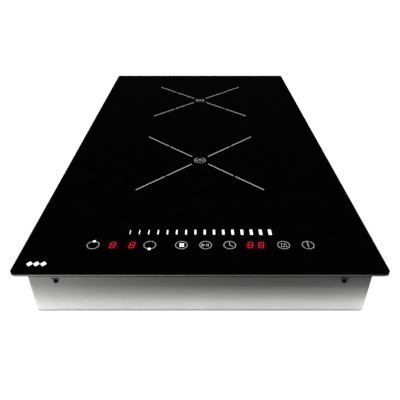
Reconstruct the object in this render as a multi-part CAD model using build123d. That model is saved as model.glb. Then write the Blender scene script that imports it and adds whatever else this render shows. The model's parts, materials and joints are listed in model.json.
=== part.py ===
from build123d import *
import math
import os

# Built-in electric induction cooktop with two zones, in millimetres.
# X runs to the right, the user stands at -Y, Z is up. The origin is the centre of the box's underside.

# ---- Glass-ceramic top ----
GLASS_W = 288.0
GLASS_D = 510.0
GLASS_T = 4.0
GLASS_R = 3.5
GLASS_ARRIS = 0.5
TOTAL_H = 54.0
GLASS_Z = TOTAL_H - GLASS_T

# ---- Housing tray, made for a 278 x 490 mm cut-out ----
TRAY_W = 275.0
TRAY_D = 488.0
TRAY_TOP = 49.2
TRAY_CORNER = 3.0
TRAY_BEND = 2.4
SHEET = 0.8
INNER_W = TRAY_W - 2 * SHEET
INNER_D = TRAY_D - 2 * SHEET

# ---- Worktop seal ----
SEAL_T = 1.6
SEAL_INSET = 2.0
SEAL_GAP = 0.8

# ---- Rails bonded under the glass and screwed to the tray's walls ----
RAIL_T = 1.0
RAIL_DROP = 19.0
RAIL_FLANGE = 13.0
BOND_INSET = 2.0
BOND_W = 9.0
END_RAIL_L = 248.0
SIDE_RAIL_L = 452.0
END_FIXINGS = (-115.0, 115.0)
SIDE_FIXINGS = (-150.0, 0.0, 150.0)
FIXING_Z = 35.2
SLOT_Z = 37.7
SLOT_W = 6.5
SLOT_H = 1.3
RAIL_SCREW_R = 1.0
RAIL_SCREW_HOLE_R = 1.1
RAIL_SCREW_HEAD_R = 1.75
WALLS = {
    "front": (0, INNER_D / 2, END_RAIL_L, END_FIXINGS),
    "rear": (180, INNER_D / 2, END_RAIL_L, END_FIXINGS),
    "left": (-90, INNER_W / 2, SIDE_RAIL_L, SIDE_FIXINGS),
    "right": (90, INNER_W / 2, SIDE_RAIL_L, SIDE_FIXINGS),
}

# ---- Air openings in the tray ----
GRILLE_RADII = (13.0, 19.0, 25.0, 31.0, 37.0)
VENT_SLOT = 3.0
GRILLE_RIB = 4.0
OUTLET_ROWS = (-212.0, -186.0)
OUTLET_L = 20.0
OUTLET_PITCH = 9.0
OUTLETS = 20
VENT_Z = 17.0
REAR_VENT_X = 50.0
REAR_VENT_L = 16.0
REAR_VENT_PITCH = 7.0
REAR_VENTS = 20
SIDE_VENT_Y = -55.0
SIDE_VENT_L = 22.0
SIDE_VENT_PITCH = (26.0, 8.0)
SIDE_VENTS = (6, 2)

# ---- Clamp bracket fixings in the tray's floor ----
BRACKET_X = 118.0
BRACKET_Y = 190.0
BRACKET_HOLE_R = 2.1
BRACKET_NUT_FLATS = 7.0
BRACKET_NUT_H = 3.2

# ---- Cable inlet in the rear wall ----
INLET_X = -100.0
INLET_Z = 18.0
INLET_BORE_R = 4.5
INLET_HOLE_R = 7.0

# ---- Blank rating plate on the right wall ----
PLATE_Y = 195.0
PLATE_Z = 22.0
PLATE_L = 46.0
PLATE_H = 24.0

# ---- Shield plate over the electronics ----
SHIELD_Z = 31.0
SHIELD_T = 1.0
SHIELD_X = 125.0
SHIELD_FRONT = -160.0
SHIELD_REAR = 225.0
SHIELD_FLANGE = 7.0
POST_X = 117.0
POST_Y = (-150.0, -30.0, 90.0, 215.0)
POST_FLATS = 6.0

# ---- Cooking zones ----
ZONES = {"front": -71.5, "rear": 126.5}
DISC_T = 1.5
DISC_R = 89.0
WIRE_R = 1.7
WIRE_PITCH = 3.6
WIRE_START_R = 28.0
WIRE_HALF_TURNS = 31
CARRIER_R = 88.0
CARRIER_BASE = 42.8
CARRIER_FLOOR = 45.0
CARRIER_LIP = 48.3
CARRIER_LIP_T = 1.2
CARRIER_HUB_R = 25.0
EAR_ANGLES = (0, 120, 240)
EAR_REACH = 96.0
EAR_R = 6.0
EAR_HOLE_R = 2.0
FERRITE_COUNT = 8
FERRITE_IN = 30.0
FERRITE_OUT = 80.0
FERRITE_W = 10.0
FERRITE_T = 5.0
SENSOR_R = 5.0
LEAD_R = 1.5

# ---- Control board, just under the glass at the front ----
CONTROL_X = 118.0
CONTROL_FRONT = -238.0
CONTROL_REAR = -168.0
CONTROL_Z = 38.4
BOARD_T = 1.6
CONTROL_TOP = CONTROL_Z + BOARD_T
CONTROL_SCREW_X = (-113.0, 0.0, 113.0)
CONTROL_SCREW_Y = (-232.0, -172.0)
KEY_Y = -222.7
KEY_X = (-87.4, -41.0, -15.2, 4.6, 24.3, 68.4, 88.4)
ZONE_DISPLAY_X = (-72.0, -56.0)
TIMER_X = 45.6
TIMER_PITCH = 8.8
DIGIT_W = 4.8
DIGIT_H = 8.5
SLIDER_Y = -204.8
SLIDER_HALF = 60.0
SLIDER_PADS = 8
RIBBON_X = 60.0

# ---- Power board and filter board, on standoffs over the tray's floor ----
BOARD_Z = 6.8
BOARD_TOP = BOARD_Z + BOARD_T
POWER_X = 112.0
POWER_FRONT = -158.0
POWER_REAR = 42.0
POWER_SCREWS = [(x, y) for x in (-106.0, 106.0) for y in (-152.0, -50.0, 20.0)]
FILTER_LEFT = 28.0
FILTER_RIGHT = 112.0
FILTER_FRONT = 150.0
FILTER_REAR = 226.0
FILTER_SCREWS = [(x, y) for x in (33.0, 107.0) for y in (155.0, 221.0)]
SCREW_R = 1.5
SCREW_HOLE_R = 1.6
BOARD_HOLE_R = 1.7
SINK_X = 34.0
SINK_FRONT = -70.0
SINK_REAR = 20.0
SINK_TOP = 29.4
SINK_BASE = 5.0
SINK_FLANK = 5.0
SINK_FIN_T = 1.3
SINK_FINS = 9
DEVICE_Z = 10.2
DEVICE_H = 18.5
DEVICE_W = 15.8
DEVICE_T = 4.8
DEVICE_Y = (-56.0, -34.0)
BRIDGE_Y = -2.0
BRIDGE_W = 28.0
DEVICE_SCREW_Z = 24.0
FRONT_TERMINAL_X = -104.0
REAR_TERMINAL_X = (-100.0, -108.0)
REAR_TERMINAL_Y = 34.0
TERMINAL_SPLIT = 8.0
TERMINAL_H = 11.6
BOX_EDGE = 0.8
FILTER_LEAD_X = (84.0, 96.0)
CHOKE_X = 52.0
CHOKE_Y = 202.0
CHOKE_Z = BOARD_TOP + 8.0
CHOKE_IN = 8.0
CHOKE_OUT = 14.5
CHOKE_HALF_H = 5.5
CHOKE_TURNS = 7
CHOKE_TURN_STEP = 17.0
CHOKE_WIRE = 1.4
CHOKE_GAP = 0.1

# ---- Places of the small parts on the boards ----
CONTROL_CHIPS = ((-52, -185, 14, 8, 2.0), (-10, -185, 12, 12, 1.8), (30, -185, 14, 8, 2.0))
POWER_CHIPS = ((2, -135, 16, 16, 1.8), (-28, -135, 10, 7, 1.8), (95, -68, 10, 7, 2.4))
CHIP_LEAD_PITCH = 1.6
BUZZER_X = -98.0
BUZZER_Y = -186.0
BUZZER_R = 6.5
BUZZER_H = 7.0
RESONANT_SIZE = (32, 15, 19)
RESONANT_PLACES = ((-68, -130), (-68, -110), (68, -130), (68, -110))
BUS_SIZE = (42, 19, 20)
BUS_PLACES = ((-24, -98), (24, -98))
CAN_PLACES = ((62, 2), (78, 2), (62, 18))
CAN_R = 6.0
CAN_H = 17.0
TRANSFORMER_X = 72.0
TRANSFORMER_Y = -38.0
FAN_PLUG_X = -56.0
FILTER_BOX_SIZE = (26, 10, 16)
FILTER_BOX_X = 60.0
MAINS_Y = (164.0, 178.0)
DISC_CAP_X = (78.0, 88.0)
DISC_CAP_Y = 212.0
DISC_CAP_R = 5.0
FUSE_X = 100.0
FUSE_FRONT = 182.0
FUSE_REAR = 214.0

# ---- Cooling fan, an 80 mm axial fan over the intake grille ----
FAN_X = 0.0
FAN_Y = 100.0
FAN_SIZE = 80.0
FAN_H = 20.0
FAN_FLOOR = SHEET
FAN_TOP = FAN_FLOOR + FAN_H
FAN_BORE_R = 38.5
FAN_SCREW_SPAN = 71.5 / 2
HUB_DISC_R = 16.5
HUB_DISC_T = 2.2
BEARING_TUBE_R = 4.0
BEARING_R = 2.58
BEARING_TUBE_BORE = 2.6
SHAFT_R = 1.5
RUNNING_FIT = 0.05
CUP_R = 16.0
CUP_WALL = 1.5
CUP_FLOOR_Z = 2.6
CUP_TOP_Z = 17.8
BLADES = 9
BLADE_TIP_R = 37.2
BLADE_T = 1.3
MAGNET_T = 1.0
STATOR_R = 12.6
DUCT_X = 42.5
DUCT_FRONT = 22.0
DUCT_REAR = 142.5
DUCT_LOW = 10.0
DUCT_TOP = 30.5
DUCT_WALL = 1.5

# ---- Terminal block for the supply cable ----
BLOCK_LEFT = -98.0
BLOCK_POLES = 5
POLE_PITCH = 11.0
BLOCK_FRONT = 196.0
BLOCK_REAR = 224.0
BLOCK_DECK = 17.5
BLOCK_TOP = 22.5
EARTH_Y = 168.0
EARTH_FLATS = 7.0
LEAD_Z = BOARD_TOP + 5.0


# ---- Small shapes that many pieces share ----

def block(x0, x1, y0, y1, z0, z1):
    """A box between two corners."""
    return Pos((x0 + x1) / 2, (y0 + y1) / 2, (z0 + z1) / 2) * Box(x1 - x0, y1 - y0, z1 - z0)


def rod(x, y, z0, z1, radius):
    """An upright cylinder."""
    return Pos(x, y, (z0 + z1) / 2) * Cylinder(radius, z1 - z0)


def ring(x, y, z0, z1, outer, inner):
    """An upright tube."""
    return rod(x, y, z0, z1, outer) - rod(x, y, z0, z1, inner)


def on_board(x, y, size_x, size_y, height, edge):
    """A box that stands on a circuit board, with its top edges softened."""
    box = block(x - size_x / 2, x + size_x / 2, y - size_y / 2, y + size_y / 2, BOARD_TOP, BOARD_TOP + height)
    return chamfer(box.edges().group_by(Axis.Z)[-1], edge)


def rod_x(x0, x1, y, z, radius):
    """A cylinder lying along X."""
    return Pos((x0 + x1) / 2, y, z) * Rot(0, 90, 0) * Cylinder(radius, x1 - x0)


def rod_y(x, y0, y1, z, radius):
    """A cylinder lying along Y."""
    return Pos(x, (y0 + y1) / 2, z) * Rot(90, 0, 0) * Cylinder(radius, y1 - y0)


def slab(width, depth, z0, z1, radius):
    """A flat slab with rounded corners, centred on the Z axis."""
    return Pos(0, 0, z0) * extrude(RectangleRounded(width, depth, radius), z1 - z0)


def hexagon(x, y, z0, z1, flats):
    """An upright hexagonal bar, measured across its flats."""
    return Pos(x, y, z0) * extrude(RegularPolygon(flats / math.sqrt(3), 6), z1 - z0)


def group(pieces):
    """Separate solids that share one node."""
    solids = []
    for piece in pieces:
        solids += piece.solids()
    return Compound(solids)


def pan_screw(head_r, head_h, shank_r, length):
    """A cross-recessed screw: the head's underside is at the origin and the shank runs down -Z."""
    head = extrude(Circle(head_r), head_h)
    head = chamfer(head.edges().group_by(Axis.Z)[-1], head_h * 0.35)
    shank = Pos(0, 0, -length / 2) * Cylinder(shank_r, length)
    arm = head_r * 1.15
    cut = head_r * 0.24
    depth = head_h * 0.55
    recess = Pos(0, 0, head_h) * (Box(arm, cut, 2 * depth) + Box(cut, arm, 2 * depth))
    return head + shank - recess


def lead(points, bends, radius):
    """A round wire along straight runs joined by tangent arcs."""
    path = FilletPolyline(*points, radius=bends)
    section = Plane(origin=path @ 0, z_dir=path % 0) * Circle(radius)
    return sweep(section, path=path)


def on_wall(name, shape):
    """Carry a shape drawn at a wall's inner face (y = 0, inside towards +Y) to one of the four walls."""
    angle, distance, _, _ = WALLS[name]
    return Rot(0, 0, angle) * Pos(0, -distance, 0) * shape


# ---- Glass, seal, rails ----

def glass_top():
    glass = slab(GLASS_W, GLASS_D, GLASS_Z, TOTAL_H, GLASS_R)
    levels = glass.edges().group_by(Axis.Z)
    return chamfer(levels[0] + levels[-1], GLASS_ARRIS)


def worktop_seal():
    ring_w = GLASS_W - 2 * SEAL_INSET
    ring_d = GLASS_D - 2 * SEAL_INSET
    low = GLASS_Z - SEAL_T
    outer = slab(ring_w, ring_d, low, GLASS_Z, GLASS_R - SEAL_INSET)
    inner = slab(TRAY_W + 2 * SEAL_GAP, TRAY_D + 2 * SEAL_GAP, low, GLASS_Z, TRAY_CORNER + SEAL_GAP)
    return outer - inner


def glass_rail(name):
    """An L-shaped rail: a leg against the tray's wall and a flange under the glass."""
    _, _, length, fixings = WALLS[name]
    low = TRAY_TOP - RAIL_DROP
    leg = block(-length / 2, length / 2, 0, RAIL_T, low, TRAY_TOP)
    flange = block(-length / 2, length / 2, 0, RAIL_FLANGE, TRAY_TOP - RAIL_T, TRAY_TOP)
    rail = leg + flange
    bend = rail.edges().filter_by(Axis.X).group_by(Axis.Y)[0].sort_by(Axis.Z)[-1]
    rail = fillet(bend, RAIL_T * 0.8)
    for x in fixings:
        rail -= rod_y(x, -1, RAIL_T + 1, FIXING_Z, RAIL_SCREW_HOLE_R)
        rail -= Pos(x, 0, SLOT_Z) * Box(SLOT_W, 4, SLOT_H)
    return on_wall(name, rail)


def glass_adhesive():
    strips = []
    for name, (_, _, length, _) in WALLS.items():
        half = length / 2 - 4
        strips.append(on_wall(name, block(-half, half, BOND_INSET, BOND_INSET + BOND_W, TRAY_TOP, GLASS_Z)))
    return group(strips)


def rail_screws():
    screw = Rot(90, 0, 0) * pan_screw(RAIL_SCREW_HEAD_R, 1.2, RAIL_SCREW_R, 5.0)
    screws = []
    for name, (_, _, _, fixings) in WALLS.items():
        screws += [on_wall(name, Pos(x, -SHEET, FIXING_Z) * screw) for x in fixings]
    return group(screws)


# ---- Housing ----

def intake_grille():
    """Ring slots under the fan, bridged by four diagonal ribs."""
    slots = Sketch()
    for radius in GRILLE_RADII:
        slots += Circle(radius + VENT_SLOT / 2) - Circle(radius - VENT_SLOT / 2)
    for angle in (45, 135):
        slots -= Rot(0, 0, angle) * Rectangle(2 * FAN_SIZE, GRILLE_RIB)
    return Pos(FAN_X, FAN_Y, -1) * extrude(slots, SHEET + 2)


def floor_outlets():
    """Two rows of slots under the control board."""
    slots = Sketch()
    slot = SlotOverall(OUTLET_L, VENT_SLOT, rotation=90)
    for row in OUTLET_ROWS:
        slots += Pos(0, row) * GridLocations(OUTLET_PITCH, 1, OUTLETS, 1) * slot
    return Pos(0, 0, -1) * extrude(slots, SHEET + 2)


def wall_vents():
    """Upright slots through the rear wall and level slots through both side walls."""
    rear = Sketch()
    upright = SlotOverall(REAR_VENT_L, VENT_SLOT, rotation=90)
    rear += Pos(REAR_VENT_X, VENT_Z) * GridLocations(REAR_VENT_PITCH, 1, REAR_VENTS, 1) * upright
    rear_cut = extrude(Plane.XZ.offset(-TRAY_D / 2) * rear, 3, both=True)
    side = Sketch()
    level = SlotOverall(SIDE_VENT_L, VENT_SLOT)
    side += Pos(SIDE_VENT_Y, VENT_Z) * GridLocations(*SIDE_VENT_PITCH, *SIDE_VENTS) * level
    side_cut = extrude(Plane.YZ * side, TRAY_W, both=True)
    return rear_cut + side_cut


def housing_tray():
    outer = slab(TRAY_W, TRAY_D, 0, TRAY_TOP, TRAY_CORNER)
    outer = fillet(outer.edges().group_by(Axis.Z)[0], TRAY_BEND)
    inner = slab(INNER_W, INNER_D, SHEET, TRAY_TOP + 1, TRAY_CORNER - SHEET)
    inner = fillet(inner.edges().group_by(Axis.Z)[0], TRAY_BEND - SHEET)
    tray = outer - inner
    for name, (_, _, _, fixings) in WALLS.items():
        for x in fixings:
            tray -= on_wall(name, rod_y(x, -2, 2, FIXING_Z, RAIL_SCREW_HOLE_R))
            tray -= on_wall(name, Pos(x, 0, SLOT_Z) * Box(SLOT_W, 4, SLOT_H))
    for x in (-BRACKET_X, BRACKET_X):
        for y in (-BRACKET_Y, BRACKET_Y):
            tray -= rod(x, y, -1, 2, BRACKET_HOLE_R)
    for x in (-FAN_SCREW_SPAN, FAN_SCREW_SPAN):
        for y in (-FAN_SCREW_SPAN, FAN_SCREW_SPAN):
            tray -= rod(FAN_X + x, FAN_Y + y, -1, 2, 2.0)
    tray -= rod_y(INLET_X, TRAY_D / 2 - 3, TRAY_D / 2 + 3, INLET_Z, INLET_HOLE_R)
    return tray - intake_grille() - floor_outlets() - wall_vents()


def bracket_nuts():
    """Weld nuts for the worktop clamp brackets, each over its hole in the floor."""
    nuts = []
    for x in (-BRACKET_X, BRACKET_X):
        for y in (-BRACKET_Y, BRACKET_Y):
            nut = hexagon(x, y, SHEET, SHEET + BRACKET_NUT_H, BRACKET_NUT_FLATS)
            nuts.append(nut - rod(x, y, 0, SHEET + BRACKET_NUT_H + 1, BRACKET_HOLE_R))
    return group(nuts)


def cable_grommet():
    """A rubber bush in the rear wall, with a lip on each side of the sheet and a sleeve inside."""
    outside = TRAY_D / 2
    inside = INNER_D / 2
    body = rod_y(INLET_X, inside, outside, INLET_Z, INLET_HOLE_R - 0.05)
    body += rod_y(INLET_X, outside, outside + 0.9, INLET_Z, INLET_HOLE_R + 2)
    body += rod_y(INLET_X, inside - 1.5, inside, INLET_Z, INLET_HOLE_R + 1.5)
    body += rod_y(INLET_X, inside - 7, inside, INLET_Z, INLET_HOLE_R - 0.6)
    return body - rod_y(INLET_X, inside - 8, outside + 2, INLET_Z, INLET_BORE_R)


def rating_plate():
    """A blank plate on the right wall's outer face."""
    side = extrude(Plane.YZ * RectangleRounded(PLATE_L, PLATE_H, 1.5), 0.3)
    return Pos(TRAY_W / 2, PLATE_Y, PLATE_Z) * side


# ---- Shield plate ----

def lead_exits(zone):
    """Where the two coil leads of a zone go down through the shield plate."""
    centre = ZONES[zone]
    if zone == "front":
        return [(FRONT_TERMINAL_X, centre - TERMINAL_SPLIT), (FRONT_TERMINAL_X, centre + TERMINAL_SPLIT)]
    return [(REAR_TERMINAL_X[0], centre - TERMINAL_SPLIT), (REAR_TERMINAL_X[1], centre + TERMINAL_SPLIT)]


def ear_points(zone):
    """The three fixing points of a zone's coil carrier."""
    points = []
    for angle in EAR_ANGLES:
        turn = math.radians(angle)
        points.append((EAR_REACH * math.cos(turn), ZONES[zone] + EAR_REACH * math.sin(turn)))
    return points


def sensor_route(zone):
    """A sensor's wire: down from the coil's centre, out over the shield and down to the power board."""
    centre = ZONES[zone]
    down = {"front": (-95.0, centre), "rear": (-92.0, 35.0)}[zone]
    low = SHIELD_Z + SHIELD_T + 2.6
    return [(0, centre, 40), (0, centre, low), (down[0], down[1], low), (down[0], down[1], BOARD_TOP)]


def post_points():
    return [(x, y) for x in (-POST_X, POST_X) for y in POST_Y]


def shield_plate():
    top = SHIELD_Z + SHIELD_T
    plate = block(-SHIELD_X, SHIELD_X, SHIELD_FRONT, SHIELD_REAR, SHIELD_Z, top)
    for x in (-SHIELD_X, SHIELD_X - SHIELD_T):
        plate += block(x, x + SHIELD_T, SHIELD_FRONT, SHIELD_REAR, SHIELD_Z - SHIELD_FLANGE, top)
    holes = [(x, y, SCREW_HOLE_R) for x, y in post_points()]
    for zone in ZONES:
        holes += [(x, y, 3.0) for x, y in lead_exits(zone)]
        holes += [(x, y, SCREW_HOLE_R) for x, y in ear_points(zone)]
        holes.append((sensor_route(zone)[3][0], sensor_route(zone)[3][1], 2.5))
    for x, y, radius in holes:
        plate -= rod(x, y, SHIELD_Z - 1, top + 1, radius)
    return plate


def shield_posts():
    posts = []
    for x, y in post_points():
        post = hexagon(x, y, SHEET, SHIELD_Z, POST_FLATS)
        posts.append(post - rod(x, y, SHIELD_Z - 8, SHIELD_Z + 1, SCREW_HOLE_R))
    return group(posts)


# ---- Cooking zones ----

def coil_carrier(zone):
    """A moulded wheel that holds the winding between two lips and is fixed by three ears."""
    wheel = rod(0, 0, CARRIER_BASE, CARRIER_FLOOR, CARRIER_R)
    windows = Sketch() + Circle(80) - Circle(34)
    for i in range(FERRITE_COUNT // 2):
        windows -= Rot(0, 0, ferrite_angle(i)) * Rectangle(2 * CARRIER_R, FERRITE_W + 4)
    wheel -= Pos(0, 0, CARRIER_BASE - 1) * extrude(windows, CARRIER_FLOOR - CARRIER_BASE + 2)
    wheel += ring(0, 0, CARRIER_FLOOR, CARRIER_LIP, CARRIER_R, CARRIER_R - CARRIER_LIP_T)
    wheel += ring(0, 0, CARRIER_FLOOR, CARRIER_LIP, CARRIER_HUB_R, CARRIER_HUB_R - CARRIER_LIP_T)
    for angle in EAR_ANGLES:
        ear = block(CARRIER_R - 3, EAR_REACH, -EAR_R, EAR_R, CARRIER_BASE, CARRIER_FLOOR)
        ear += rod(EAR_REACH, 0, CARRIER_BASE, CARRIER_FLOOR, EAR_R)
        ear -= rod(EAR_REACH, 0, CARRIER_BASE - 1, CARRIER_FLOOR + 1, EAR_HOLE_R)
        wheel += Rot(0, 0, angle) * ear
    wheel -= rod(0, 0, CARRIER_BASE - 1, CARRIER_FLOOR + 1, SENSOR_R + 0.5)
    return Pos(0, ZONES[zone], 0) * wheel


def coil_winding(zone):
    """A flat spiral of litz wire, drawn as half turns about two centres half a pitch apart."""
    half_turns = []
    for i in range(WIRE_HALF_TURNS):
        centre = (i % 2) * WIRE_PITCH / 2
        radius = WIRE_START_R + i * WIRE_PITCH / 2
        half_turns.append(CenterArc((centre, 0), radius, 180 * (i % 2), 180))
    path = Wire(half_turns)
    section = Plane(origin=path @ 0, z_dir=path % 0) * Circle(WIRE_R)
    coil = sweep(section, path=path)
    return Pos(0, ZONES[zone], CARRIER_FLOOR + WIRE_R) * coil


def ferrite_angle(i):
    return (i + 0.5) * 360 / FERRITE_COUNT


def ferrite_bars():
    half_w = FERRITE_W / 2
    bar = block(FERRITE_IN, FERRITE_OUT, -half_w, half_w, CARRIER_BASE - FERRITE_T, CARRIER_BASE)
    bar = chamfer(bar.edges().filter_by(Axis.Z), 1.0)
    bars = []
    for centre in ZONES.values():
        bars += [Pos(0, centre, 0) * Rot(0, 0, ferrite_angle(i)) * bar for i in range(FERRITE_COUNT)]
    return group(bars)


def insulation_discs():
    discs = []
    for centre in ZONES.values():
        disc = rod(0, centre, GLASS_Z - DISC_T, GLASS_Z, DISC_R)
        discs.append(disc - rod(0, centre, GLASS_Z - DISC_T - 1, GLASS_Z + 1, SENSOR_R + 0.5))
    return group(discs)


def coil_buffers():
    """Waisted rubber bushes that press the coil carriers up against the glass."""
    low = SHIELD_Z + SHIELD_T
    middle = (low + CARRIER_BASE) / 2
    waist = 1.5
    buffers = []
    for zone in ZONES:
        for x, y in ear_points(zone):
            bush = rod(x, y, low, middle - waist, 4.5) + rod(x, y, middle + waist, CARRIER_BASE, 4.5)
            bush += rod(x, y, middle - waist, middle + waist, 3.4)
            buffers.append(bush - rod(x, y, low - 1, CARRIER_BASE + 1, EAR_HOLE_R))
    return group(buffers)


def coil_screws():
    """Shoulder screws down through the ears and the buffers into the shield plate."""
    screw = pan_screw(3.4, 1.9, SCREW_R, CARRIER_FLOOR - SHIELD_Z + 1.5)
    screws = []
    for zone in ZONES:
        screws += [Pos(x, y, CARRIER_FLOOR) * screw for x, y in ear_points(zone)]
    return group(screws)


def temperature_sensors():
    """A sprung sensor capsule at each coil's centre, with its wire."""
    pieces = []
    for zone, centre in ZONES.items():
        capsule = rod(0, centre, 42, GLASS_Z, SENSOR_R)
        capsule = chamfer(capsule.edges().group_by(Axis.Z)[-1], 0.8)
        pieces.append(capsule + rod(0, centre, 40, 42, SENSOR_R + 1.8))
        pieces.append(lead(sensor_route(zone), 2.0, 0.9))
    return group(pieces)


def coil_leads():
    """Two insulated leads from each winding, down through the shield to the power board."""
    high = CARRIER_BASE - LEAD_R - 0.3
    low = BOARD_TOP + TERMINAL_H
    leads = []
    for x, y in lead_exits("front"):
        leads.append(lead([(-84, y, high), (x, y, high), (x, y, low)], 6.0, LEAD_R))
    for x, y in lead_exits("rear"):
        along = low + 4
        points = [(-84, y, high), (x, y, high), (x, y, along), (x, REAR_TERMINAL_Y, along)]
        points.append((x, REAR_TERMINAL_Y, low))
        leads.append(lead(points, [6.0, 6.0, 3.5], LEAD_R))
    return group(leads)


# ---- Control board ----

def control_board():
    board = block(-CONTROL_X, CONTROL_X, CONTROL_FRONT, CONTROL_REAR, CONTROL_Z, CONTROL_TOP)
    board = fillet(board.edges().filter_by(Axis.Z), 2.0)
    for x in CONTROL_SCREW_X:
        for y in CONTROL_SCREW_Y:
            board -= rod(x, y, CONTROL_Z - 1, CONTROL_TOP + 1, BOARD_HOLE_R)
    return board


def control_board_frame():
    """A moulded ring with ribs under the control board, on four legs."""
    wall = 1.6
    low = CONTROL_Z - 6.4
    side = CONTROL_X + 0.8
    front = CONTROL_FRONT - 0.6
    rear = CONTROL_REAR + 0.8
    frame = block(-side, side, front, rear, low, CONTROL_Z)
    frame -= block(-side + wall, side - wall, front + wall, rear - wall, low - 1, CONTROL_Z + 1)
    for x in (-78.0, -26.0, 26.0, 88.0):
        frame += block(x - wall / 2, x + wall / 2, front + wall / 2, rear - wall / 2, low, CONTROL_Z)
    for x in CONTROL_SCREW_X:
        for y in CONTROL_SCREW_Y:
            foot = SHEET if x else low
            frame += rod(x, y, foot, CONTROL_Z, 3.6)
    for y in CONTROL_SCREW_Y:
        wall_y = front if y == CONTROL_SCREW_Y[0] else rear - wall
        for x in CONTROL_SCREW_X:
            frame += block(x - 1, x + 1, min(y, wall_y), max(y, wall_y + wall), low, CONTROL_Z)
    for x in CONTROL_SCREW_X:
        for y in CONTROL_SCREW_Y:
            frame -= rod(x, y, CONTROL_Z - 6, CONTROL_Z + 1, SCREW_HOLE_R)
    return frame


def touch_contacts():
    """Conductive foam pillars between the board's pads and the glass: seven keys and the slider."""
    pillars = [rod(x, KEY_Y, CONTROL_TOP, GLASS_Z, 4.2) for x in KEY_X]
    pitch = 2 * SLIDER_HALF / SLIDER_PADS
    for i in range(SLIDER_PADS):
        x = -SLIDER_HALF + (i + 0.5) * pitch
        pillars.append(block(x - 6, x + 6, SLIDER_Y - 4, SLIDER_Y + 4, CONTROL_TOP, GLASS_Z))
    return group(pillars)


def seven_segments(x, y, z, depth):
    """The seven bars of one digit, as a cutter sunk into a face at height z."""
    bar = DIGIT_W * 0.19
    half_w = (DIGIT_W - bar) / 2
    half_h = (DIGIT_H - bar) / 2
    gap = 0.25
    bars = []
    for side in (-1, 0, 1):
        bars.append(Pos(x, y + side * half_h, z) * Box(2 * half_w - bar - gap, bar, 2 * depth))
    for side_x in (-1, 1):
        for side_y in (-1, 1):
            centre = Pos(x + side_x * half_w, y + side_y * half_h / 2, z)
            bars.append(centre * Box(bar, half_h - bar - gap, 2 * depth))
    return bars


def display(x, digits):
    """An LED digit module with its segments sunk in the face."""
    top = GLASS_Z - 0.5
    half = digits * TIMER_PITCH / 2 - 0.4
    body = block(x - half, x + half, KEY_Y - 6.2, KEY_Y + 6.2, CONTROL_TOP, top)
    for i in range(digits):
        for bar in seven_segments(x + (i - (digits - 1) / 2) * TIMER_PITCH, KEY_Y, top, 0.4):
            body -= bar
    return body


def zone_displays():
    return group([display(x, 1) for x in ZONE_DISPLAY_X])


def timer_display():
    return display(TIMER_X, 2)


def chip(x, y, z, size_x, size_y, height):
    """A flat chip with a row of leads along two sides."""
    body = block(x - size_x / 2, x + size_x / 2, y - size_y / 2, y + size_y / 2, z + 0.3, z + height)
    body = chamfer(body.edges().group_by(Axis.Z)[-1], 0.25)
    count = int(size_x / CHIP_LEAD_PITCH)
    pitch = size_x / count
    for i in range(count):
        foot_x = x - size_x / 2 + (i + 0.5) * pitch
        body += block(foot_x - 0.3, foot_x + 0.3, y - size_y / 2 - 1.2, y + size_y / 2 + 1.2, z, z + 0.9)
    return body


def circuit_chips():
    chips = [chip(x, y, CONTROL_TOP, *size) for x, y, *size in CONTROL_CHIPS]
    chips += [chip(x, y, BOARD_TOP, *size) for x, y, *size in POWER_CHIPS]
    return group(chips)


def buzzer():
    top = CONTROL_TOP + BUZZER_H
    body = rod(BUZZER_X, BUZZER_Y, CONTROL_TOP, top, BUZZER_R)
    return body - rod(BUZZER_X, BUZZER_Y, top - 2, top + 1, 1.2)


def control_ribbon():
    """A flat cable from under the control board down and back to the power board."""
    low = BOARD_TOP + 5
    route = [(RIBBON_X, -176, CONTROL_Z - 4), (RIBBON_X, -176, low), (RIBBON_X, -154, low)]
    path = FilletPolyline(*route, radius=6)
    section = Plane(origin=path @ 0, x_dir=(1, 0, 0), z_dir=path % 0) * Rectangle(20, 0.9)
    return sweep(section, path=path)


# ---- Power board ----

def power_board():
    board = block(-POWER_X, POWER_X, POWER_FRONT, POWER_REAR, BOARD_Z, BOARD_TOP)
    board = fillet(board.edges().filter_by(Axis.Z), 2.0)
    for x, y in POWER_SCREWS:
        board -= rod(x, y, BOARD_Z - 1, BOARD_TOP + 1, BOARD_HOLE_R)
    return board


def filter_board():
    board = block(FILTER_LEFT, FILTER_RIGHT, FILTER_FRONT, FILTER_REAR, BOARD_Z, BOARD_TOP)
    board = fillet(board.edges().filter_by(Axis.Z), 2.0)
    for x, y in FILTER_SCREWS:
        board -= rod(x, y, BOARD_Z - 1, BOARD_TOP + 1, BOARD_HOLE_R)
    return board


def board_standoffs():
    standoffs = []
    for x, y in POWER_SCREWS + FILTER_SCREWS:
        spacer = rod(x, y, SHEET, BOARD_Z, 3.2)
        standoffs.append(spacer - rod(x, y, SHEET + 0.6, BOARD_Z + 1, SCREW_HOLE_R))
    return group(standoffs)


def m3_screws():
    """Every M3 screw of the boards, the shield plate and the power devices."""
    short = pan_screw(2.8, 1.8, SCREW_R, 5.5)
    upright = [(x, y, BOARD_TOP) for x, y in POWER_SCREWS + FILTER_SCREWS]
    upright += [(x, y, CONTROL_TOP) for x in CONTROL_SCREW_X for y in CONTROL_SCREW_Y]
    upright += [(x, y, SHIELD_Z + SHIELD_T) for x, y in post_points()]
    screws = [Pos(x, y, z) * short for x, y, z in upright]
    long = pan_screw(2.8, 1.8, SCREW_R, DEVICE_T + 4)
    face = SINK_X + DEVICE_T
    for y in DEVICE_Y:
        screws.append(Pos(face, y, DEVICE_SCREW_Z) * Rot(0, 90, 0) * long)
        screws.append(Pos(-face, y, DEVICE_SCREW_Z) * Rot(0, -90, 0) * long)
    screws.append(Pos(face, BRIDGE_Y, DEVICE_SCREW_Z) * Rot(0, 90, 0) * long)
    return group(screws)


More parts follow.
